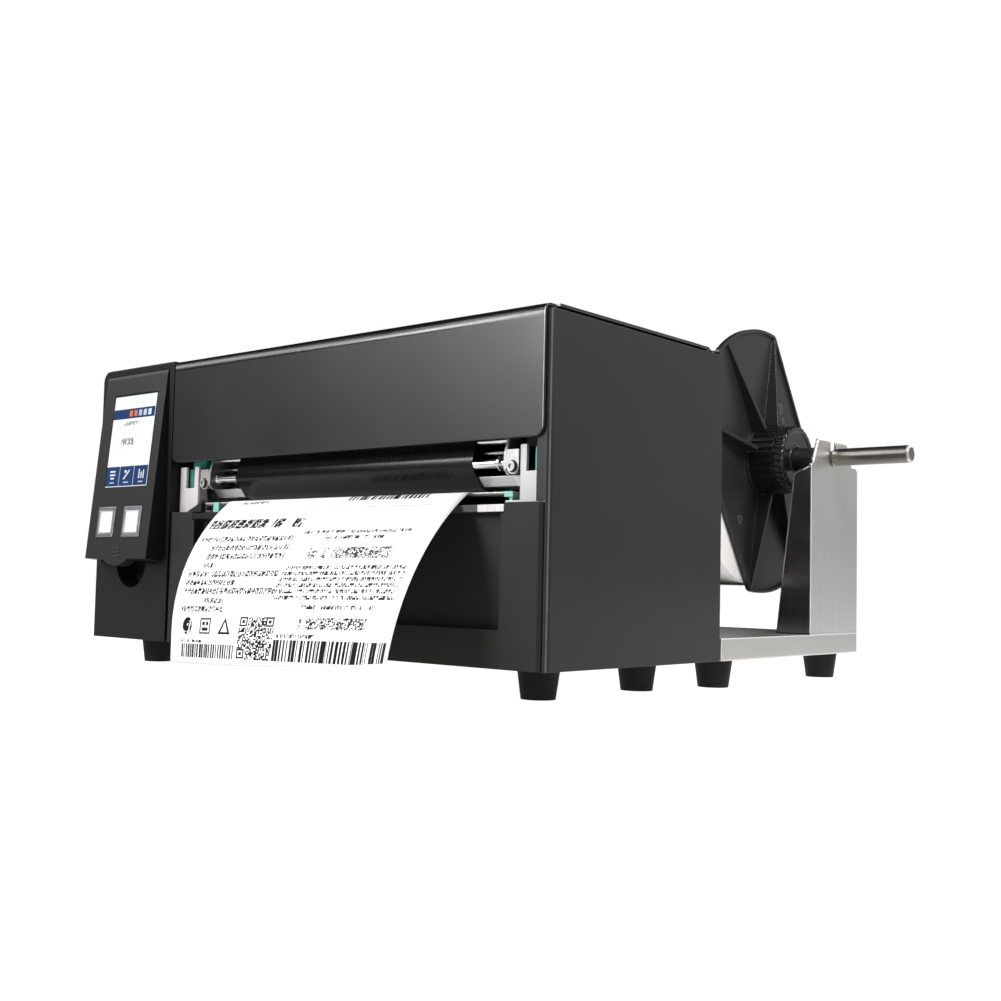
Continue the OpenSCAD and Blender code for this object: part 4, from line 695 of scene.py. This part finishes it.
# Roll flanges, lock knobs and spindles
# Two ribbed black flanges with straight sides hold the roll, each clamped on the shaft by a knurled knob;
# the ribbon spindles are of the same glass filled nylon.
def black_nylon(name, colour, gloss, streak, painted_bright=0.06):
    """Black moulded nylon with faint flow lines and polished edges that are painted paler as a painted highlight."""
    nylon = Finish(name, Specular_IOR_Level=0.5)
    flow = nylon.node("TexNoise", {}, {"Vector": nylon.place((30, 30, 30)), "Scale": 1.0, "Detail": 4.0,
                                       "Distortion": 1.2})
    grain = nylon.noise(nylon.place(), 1500, 2)
    rounded = nylon.rounded(0.0009)
    edge = nylon.edge(rounded)
    body = nylon.mix(flow, [c * 0.75 for c in colour], [c * 1.3 for c in colour])
    # Painted highlight: the edges are painted towards a paler tone.
    nylon.surface(Base_Color=nylon.mix(edge * 1.2, body, (painted_bright, painted_bright, painted_bright)),
                  Roughness=gloss + flow * streak - edge * 0.1,
                  Normal=nylon.bump(grain, 0.06, 0.0002, rounded))
    return nylon


black_nylon("flange nylon", (0.011, 0.011, 0.011), 0.36, 0.16).dress("flange_left", "flange_right")
black_nylon("knob nylon", (0.005, 0.005, 0.005), 0.16, 0.12, 0.04).dress("lock_knob_left", "lock_knob_right")
black_nylon("spindle nylon", (0.012, 0.012, 0.012), 0.36, 0.14).dress("supply_spindle", "rewind_spindle")


roll_y, roll_z = 340, 162.7


def knob_cap(name, start, outward):
    """The grip ring pressed on a knob's outer face, its profile spun about the shaft and then fluted."""
    profile = [(0.3, 9.2), (0.3, 24.6), (1.0, 25.4), (7.6, 25.4), (8.4, 24.9), (8.8, 24.0), (8.8, 21.2),
               (7.9, 20.4), (7.6, 11.6), (8.2, 11.0), (8.2, 9.6), (7.8, 9.2)]
    grip_r, flutes, flute_depth = 0.0245, 28, 0.0013
    bpy.ops.object.select_all(action="DESELECT")
    bpy.ops.mesh.primitive_circle_add(vertices=len(profile))
    piece = bpy.context.object
    piece.name = name
    centre = at(start, roll_y, roll_z)
    for corner, (out, radius) in zip(piece.data.vertices, profile):
        corner.co = centre + Vector((outward * out, 0, radius)) / 1000
    bpy.ops.object.mode_set(mode="EDIT")
    bpy.ops.mesh.select_all(action="SELECT")
    bpy.ops.mesh.spin(steps=168, angle=math.tau, center=centre, axis=(1, 0, 0))
    bpy.ops.mesh.select_all(action="SELECT")
    bpy.ops.mesh.remove_doubles(threshold=1e-6)
    bpy.ops.mesh.normals_make_consistent(inside=False)
    bpy.ops.object.mode_set(mode="OBJECT")
    for corner in piece.data.vertices:
        y, z = corner.co.y - centre.y, corner.co.z - centre.z
        radius = math.hypot(y, z)
        if radius > grip_r:
            flute = max(0, math.cos(flutes * math.atan2(z, y)) - 0.2) * flute_depth
            corner.co.y -= y / radius * flute
            corner.co.z -= z / radius * flute
    bpy.ops.object.shade_smooth_by_angle(angle=math.radians(35))
    return piece


cap_nylon = black_nylon("cap nylon", (0.006, 0.006, 0.006), 0.18, 0.12, 0.3)
for side, outward in (("left", -1), ("right", 1)):
    low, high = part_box("lock_knob_" + side)
    cap = knob_cap(side + "_knob_cap", (high.x if outward > 0 else low.x) * 1000 - bay_x, outward)
    cap.data.materials.append(cap_nylon.material)
    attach(cap, side + "_knob")


def gate_mark(name, x, y, z, radius):
    """A raised round mark left by the mould, dished, on a flange's outer face."""
    bpy.ops.object.select_all(action="DESELECT")
    bpy.ops.mesh.primitive_cylinder_add(vertices=40, radius=radius / 1000, depth=0.0008, location=at(x, y, z),
                                        rotation=(0, math.radians(90), 0))
    piece = bpy.context.object
    piece.name = name
    bpy.ops.object.transform_apply(location=True, rotation=True, scale=True)
    for face in piece.data.polygons:
        face.select = abs(face.normal.x) > 0.9
    bpy.ops.object.mode_set(mode="EDIT")
    bpy.ops.mesh.select_mode(type="FACE")
    bpy.ops.mesh.inset(thickness=radius * 0.00025, use_individual=True)
    bpy.ops.transform.resize(value=(0.4, 1, 1), center_override=at(x, y, z))
    bpy.ops.object.mode_set(mode="OBJECT")
    bpy.ops.object.shade_smooth_by_angle(angle=math.radians(30))
    return piece


mark_nylon = black_nylon("gate mark nylon", (0.03, 0.03, 0.03), 0.3, 0.1, 0.3)
flange_face = 112.95
for side, outward in (("left", -1), ("right", 1)):
    for count, (y, z, radius) in enumerate(((368.6, 206.5, 4.4), (372.6, 197.4, 2.4), (307.2, 115.9, 3.4))):
        mark = gate_mark("%s_gate_mark_%d" % (side, count + 1), outward * flange_face, y, z, radius)
        mark.data.materials.append(mark_nylon.material)
        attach(mark, "media_roll")


# Keys
# Two square keys of white silicone rubber sit in moulded frames on the tilting panel, which are satin chrome
# plated and clipped in from behind. Each key has a darker rim round its face.
key_white = Finish("key white", Specular_IOR_Level=0.4)
mottle = key_white.noise(key_white.place(), 320, 3)
across, _, rise = key_white.axes(key_white.place())
rim = 0
rim_w = 0.0013
for key in ("key_left", "key_right"):
    low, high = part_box(key)
    on_key = (across > low.x) * (across < high.x)
    inner = (across > low.x + rim_w) * (across < high.x - rim_w)
    inner = inner * (rise > low.z + rim_w) * (rise < high.z - rim_w)
    rim = on_key * (1 - inner) + rim
face = key_white.mix(mottle, (0.80, 0.81, 0.82), (0.93, 0.94, 0.95))
key_white.surface(Base_Color=key_white.mix(rim * 0.75, face, (0.30, 0.30, 0.31)),
                  Roughness=0.4 + mottle * 0.14,
                  Normal=key_white.bump(mottle, 0.06, 0.0003, key_white.rounded(0.0008)))
key_white.dress("key_left", "key_right")
key_chrome = Finish("satin chrome", Metallic=1.0)
lines = key_chrome.noise(key_chrome.place((900, 900, 120)), 1, 2)
key_chrome.surface(Base_Color=key_chrome.mix(lines, (0.5, 0.5, 0.51), (0.68, 0.68, 0.69)),
                   Roughness=0.26 + lines * 0.12,
                   Normal=key_chrome.bump(lines, 0.06, 0.0001, key_chrome.rounded(0.0006)))
key_chrome.dress("key_frames")


# Display
# A backlit colour display fills the panel's window, under a thin glass bonded over the window's edge. It shows
# a plain status page: a navy bar with five small squares, two grey lines of marks and three navy tiles.
lean = math.radians(5.5)
display = Finish("display", Base_Color=(0.02, 0.02, 0.02, 1), Specular_IOR_Level=0.5, Emission_Strength=1.0)
hinge = at(-216, tilt_y, tilt_z)
axis_point = Matrix.Rotation(lean, 3, "X") @ hinge
window_left, window_top = axis_point.x - 0.025, axis_point.z - 0.0123
across_scale, down_scale = 912, 943
spread, _, rise = display.axes(display.place(turn=(lean, 0, 0)))
across = (spread - window_left) * across_scale
down = (window_top - rise) * down_scale


def tile(x0, x1, y0, y1):
    """Share of a rectangle on the display, in millimetres from the window's upper left corner."""
    return (across > x0) * (across < x1) * (down > y0) * (down < y1)


paper_white, navy = (0.96, 0.97, 1.0), (0.003, 0.038, 0.15)
page = display.mix(tile(0.8, 49.2, 10.6, 17.6), paper_white, navy)
for x, colour in ((20, (0.8, 0.20, 0.05)), (25.4, (0.65, 0.22, 0.12)), (30.8, (0.55, 0.58, 0.70)),
                  (36.2, (0.62, 0.68, 0.85)), (41.6, (0.75, 0.80, 0.95))):
    page = display.mix(tile(x, x + 3.6, 12, 16.2), page, colour)
scribble = display.noise(display.place((420, 1, 420)), 1, 2)
marks = (tile(14, 33, 19.8, 22.4) * 0.6).either(tile(14, 29, 31.5, 36.5) * 0.75) * (scribble > 0.47)
page = display.mix(marks, page, (0.10, 0.11, 0.13))
page = display.mix(tile(0.8, 49.2, 51.4, 65.2), page, navy)
page = display.mix(tile(16.4, 17.0, 51.4, 65.2).either(tile(33.0, 33.6, 51.4, 65.2)), page, (0.55, 0.6, 0.7))
signs = tile(5.4, 11.6, 54.2, 55.4).either(tile(5.4, 11.6, 56.6, 57.8)).either(tile(6.4, 10.6, 59, 60.2))
slant = abs(across - 25 + (down - 57.4)) < 0.9
signs = signs.either(slant * tile(21.6, 28.4, 54, 60.6)).either(tile(22.4, 24.8, 54.2, 56))
signs = signs.either(tile(39, 40.2, 54, 60.4)).either(tile(41.6, 42.8, 56, 60.4)).either(tile(44, 45.2, 54.6, 60.4))
signs = signs.either((tile(6, 11, 62.2, 63.2) + tile(22, 28, 62.2, 63.2) + tile(39.4, 44.6, 62.2, 63.2)) * 0.6)
page = display.mix(signs, page, (0.82, 0.87, 0.95))
# The black margin left round this window stands for the recess's shadow: painted shadow.
window = tile(1.1, 49.7, 1.4, 65.7)
display.surface(Emission_Color=display.mix(window, (0, 0, 0), page),
                Roughness=0.08 + display.noise(display.place(), 40) * 0.06)
display.dress("screen_module")
glass = dished_block("display_glass", (-241, -1.4, 127.5), (-186.2, -0.9, 197.5), 0.0001, 0.0002)
for corner in glass.data.vertices:
    corner.co = hinge + Matrix.Rotation(-lean, 3, "X") @ (corner.co - hinge)
glass.data.materials.append(display.material)
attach(glass, "control_panel")


# Label web
# One piece of coated paper label on its liner, drawn from the roll under the guide bar, over the platen and
# the tear edge, curling out and down askew. It carries made-up print: rows of strokes, bars and a dot code.
def web_path(share):
    """The label's side view from the roll's underside to its torn end; share goes from its left edge to its right."""
    roll_foot, guide_bar, platen_axis = (roll_y, 66.25), (156, 72.7), (32, 106.2)
    lip_y, lip_z, lip_r = 9.7, 110.65, 6
    start, end = 38 - 2 * share, 90 - 12.5 * share
    radius, tail = 110 + 45 * share, 20.2 - 18 * share
    guide = arc_points(guide_bar, 6.45, -90, -112.678, 4)
    platen = arc_points(platen_axis, 10.45, 67.322, 90, 5)
    lip = arc_points((lip_y, lip_z), lip_r, 90, 90 + start, 6)
    lean_in = math.radians(start)
    centre = (lip_y - (lip_r - radius) * math.sin(lean_in), lip_z + (lip_r - radius) * math.cos(lean_in))
    curl = arc_points(centre, radius, 90 + start, 90 + end, 30)
    fall = math.radians(end)
    tip = (curl[-1][0] - tail * math.cos(fall), curl[-1][1] - tail * math.sin(fall))
    return ([roll_foot] + straight(roll_foot, guide[0], 8) + guide[1:]
            + straight(guide[-1], platen[0], 8) + platen[1:] + straight(platen[-1], lip[0], 3)
            + lip[1:] + curl[1:] + straight(curl[-1], tip, 4))


tear_row = 8 + 4 + 8 + 5 + 3
label, label_length = hung_sheet("label_sheet", 110, 36, web_path, tear_row)
stock = Finish("printed label", Specular_IOR_Level=0.12)
across, down = (reading * 1000 for reading in stock.axes(stock.node("UVMap"))[:2])


def patch(x0, x1, s0, s1):
    """Share of a rectangle on the label, in millimetres from its left edge and from the tear edge."""
    return (across > x0) * (across < x1) * (down > s0) * (down < s1)


def random_cells(x_size, y_size, seed):
    """A random number for each cell of a grid on the label."""
    cells = stock.node("CombineXYZ", {}, {0: (across / x_size).whole(), 1: (down / y_size).whole(), 2: seed})
    return stock.node("TexWhiteNoise", {}, {"Vector": cells})


def strokes(height, weight, slope, seed):
    """Pen-like strokes for a row of made-up writing of that height."""
    sheared = stock.node("CombineXYZ", {}, {0: (across + down * slope) / height, 1: down / height, 2: seed})
    curls = stock.noise(sheared, 3.2, 1)
    return (abs(curls - 0.5) < weight) * (random_cells(height * 0.62, 400, seed) > 0.12)


heavy = strokes(8, 0.13, 0.25, 1.0) * (((across + down * 0.25) / 7.9).part() < 0.86)
script = strokes(7, 0.07, 0.3, 2.0)
dense = (random_cells(0.9, 0.9, 3.0) > 0.42) * ((across / 4.1).part() < 0.84)
fine = (random_cells(0.62, 1.9, 4.0) > 0.44) * (random_cells(2.6, 3.9, 8.0) > 0.15)
thin_bars = random_cells(0.55, 400, 9.0) > 0.78
bars = ((across / 2.7).part() < 0.3 + random_cells(2.7, 400, 5.0) * 0.4).either(thin_bars)
wide_bars = ((across / 3.3).part() < 0.2 + random_cells(3.3, 400, 6.0) * 0.55).either(thin_bars)
ink = patch(4, 98, 23, 31) * heavy
ink = ink.either((patch(121, 193, 48, 56).either(patch(136, 196, 94, 101))) * script)
rows = ((5, 99, 38, 42), (20, 100, 45, 49), (20, 100, 51.5, 55.5), (20, 31, 58, 61.5), (8, 103, 64, 68),
        (8, 62, 70, 73.5), (9, 105, 75.5, 79.5), (33, 56, 82, 85.5), (10, 58, 87.5, 91))
block = patch(18, 43, 4, 7)
for row in rows:
    block = block.either(patch(*row))
ink = ink.either(block * dense)
lines = patch(105, 213, 61, 83.4) * (((down - 61) / 3.9).part() < 0.66)
for row in ((107, 200, 34.5, 37), (130, 180, 39, 41.5), (128, 199, 86.5, 89), (115, 153, 104, 106.2),
            (12, 37, 108.8, 110.6)):
    lines = lines.either(patch(*row))
ink = ink.either(lines * fine)
ink = ink.either(patch(12, 74, 111.4, 120) * bars)
ink = ink.either(patch(115, 217, 107.4, 120) * wide_bars).either(patch(122, 190, -2, 6.6) * wide_bars)
code = patch(78, 114, 94, 120) * (random_cells(1.2, 0.9, 7.0) > 0.46)
for x, s in ((78, 94), (105, 94), (78, 113.5)):
    code = code * (1 - patch(x, x + 9, s, s + 6.5))
    ring = patch(x, x + 8, s, s + 5.8) - patch(x + 1.3, x + 6.7, s + 1, s + 4.8)
    code = code.either(ring).either(patch(x + 2.6, x + 5.4, s + 2, s + 3.8))
ink = ink.either(code)
round_sign = ((across - 19) * (across - 19) + (down - 100) * (down - 100)) < 30
ink = ink.either(round_sign * (heavy.either(across + down < 117)))
ink = ink.either(patch(34, 46, 95, 105) - patch(35.2, 44.8, 96, 104) + patch(36.6, 39.4, 97.4, 99.6)
                 + patch(40.8, 43.4, 97.4, 99.6) + patch(36.6, 43.4, 101, 103))
wedge = (abs(across - 62) < (down - 94.6) * 0.66) * patch(54, 70, 94.6, 105)
wedge = wedge - (abs(across - 62) < (down - 97.2) * 0.6) * patch(54, 70, 97.2, 103.6)
ink = ink.either(wedge)
border = patch(5, 62, 14.6, 15.1).either(patch(73, 200, 13.6, 14.1)).either(patch(72.6, 73.2, 5, 13.8))
pulp = stock.noise(stock.place(), 900, 3)
sheet_white = stock.mix(pulp, (0.93, 0.93, 0.93), (0.97, 0.97, 0.97))
sheet_white = stock.mix(border * 0.5, sheet_white, (0.2, 0.2, 0.2))
sheet_white = stock.mix(stock.edge(stock.rounded(0.00022)) * 3, sheet_white, (0.25, 0.25, 0.25))
stock.surface(Base_Color=stock.mix(ink, sheet_white, (0.005, 0.005, 0.005)),
              Roughness=0.46 + pulp * 0.1 - ink * 0.06,
              Normal=stock.bump(pulp, 0.05, 0.0001))
liner = Finish("label liner", Specular_IOR_Level=0.5)
pulp = liner.noise(liner.place(), 700, 4)
liner.surface(Base_Color=liner.mix(pulp, (0.74, 0.72, 0.64), (0.82, 0.80, 0.72)),
              Roughness=0.3 + pulp * 0.15,
              Normal=liner.bump(pulp, 0.05, 0.0001))
label.data.materials.append(stock.material)
label.data.materials.append(liner.material)
bpy.context.view_layer.objects.active = label
layers = label.modifiers.new("layers", "SOLIDIFY")
layers.thickness = 0.00014
layers.offset = -1
layers.material_offset = 1
layers.material_offset_rim = 1
bpy.ops.object.modifier_apply(modifier="layers")
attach(label, "chassis")
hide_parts("label_web")


# Studio
# A plain white floor in a white room. Soft lights stand in front of the machine, to its left and right, above
# the roll and behind it; the room and the floor look white to the camera but light the machine only faintly.
def seen_white(tree, shine):
    """Brightness that is full white to the camera and shine to everything else."""
    path = tree.nodes.new("ShaderNodeLightPath")
    share = tree.nodes.new("ShaderNodeMix")
    if isinstance(shine, Reading):
        tree.links.new(shine.socket, share.inputs["A"])
    else:
        share.inputs["A"].default_value = shine
    share.inputs["B"].default_value = 1.0
    tree.links.new(path.outputs["Is Camera Ray"], share.inputs["Factor"])
    return share.outputs[0]


bpy.ops.object.select_all(action="DESELECT")
bpy.ops.mesh.primitive_plane_add(size=12)
floor = bpy.context.object
floor.name = "studio_floor"
pale = Finish("studio floor", Roughness=0.9, Specular_IOR_Level=0.0, Emission_Color=(1, 1, 1, 1))
pale.surface(Base_Color=pale.mix(pale.noise(pale.place(), 3), (0.29, 0.29, 0.29), (0.31, 0.31, 0.31)))
depth = pale.axes(pale.place())[1]
glow = pale.node("MapRange", {"interpolation_type": "SMOOTHSTEP"},
                 {"Value": depth, "From Min": -0.2, "From Max": 0.2, "To Min": 0.6, "To Max": 1.0})
pale.tree.links.new(seen_white(pale.tree, glow), pale.shader.inputs["Emission Strength"])
floor.data.materials.append(pale.material)


def soft_light(name, bearing, rise, away, width, height, brightness):
    """A soft light aimed at the machine: bearing from straight ahead of it to its right, rise above the table."""
    bearing, rise = math.radians(bearing), math.radians(rise)
    aim = Vector((math.sin(bearing) * math.cos(rise), -math.cos(bearing) * math.cos(rise), math.sin(rise)))
    bpy.ops.object.light_add(type="AREA", location=aim * away + Vector((0, 0, 0.1)))
    light = bpy.context.object
    light.name = name
    light.data.shape = "RECTANGLE"
    light.data.size = width
    light.data.size_y = height
    light.data.energy = brightness * math.pi * width * height
    light.rotation_euler = aim.to_track_quat("Z", "Y").to_euler()
    light.visible_camera = False


soft_light("key_light", -22, 18, 2.0, 0.5, 0.4, 30)
soft_light("left_light", -62, 32, 2.0, 0.7, 0.5, 4.2)
soft_light("front_light", 5, 32, 2.0, 0.9, 0.8, 1.5)
soft_light("right_light", 122, 10, 2.0, 1.0, 0.9, 0.25)
soft_light("rear_light", 150, 16, 2.0, 0.9, 0.9, 0.7)
soft_light("bend_light", -41, 37, 2.0, 0.28, 0.9, 22)
soft_light("low_bend_light", -44, 27, 2.0, 0.3, 0.3, 9)
soft_light("edge_light", 62, 8, 2.0, 0.12, 0.9, 14)
soft_light("roll_light", 83, 42, 0.7, 0.25, 0.25, 25)
soft_light("left_rear_light", -132, 18, 2.0, 0.9, 0.6, 4)
room = bpy.data.worlds.new("white room")
room.use_nodes = True
bpy.context.scene.world = room
back = room.node_tree.nodes["Background"]
back.inputs["Color"].default_value = (1, 1, 1, 1)
room.node_tree.links.new(seen_white(room.node_tree, 0.0), back.inputs["Strength"])
bpy.context.scene.view_settings.view_transform = "Standard"
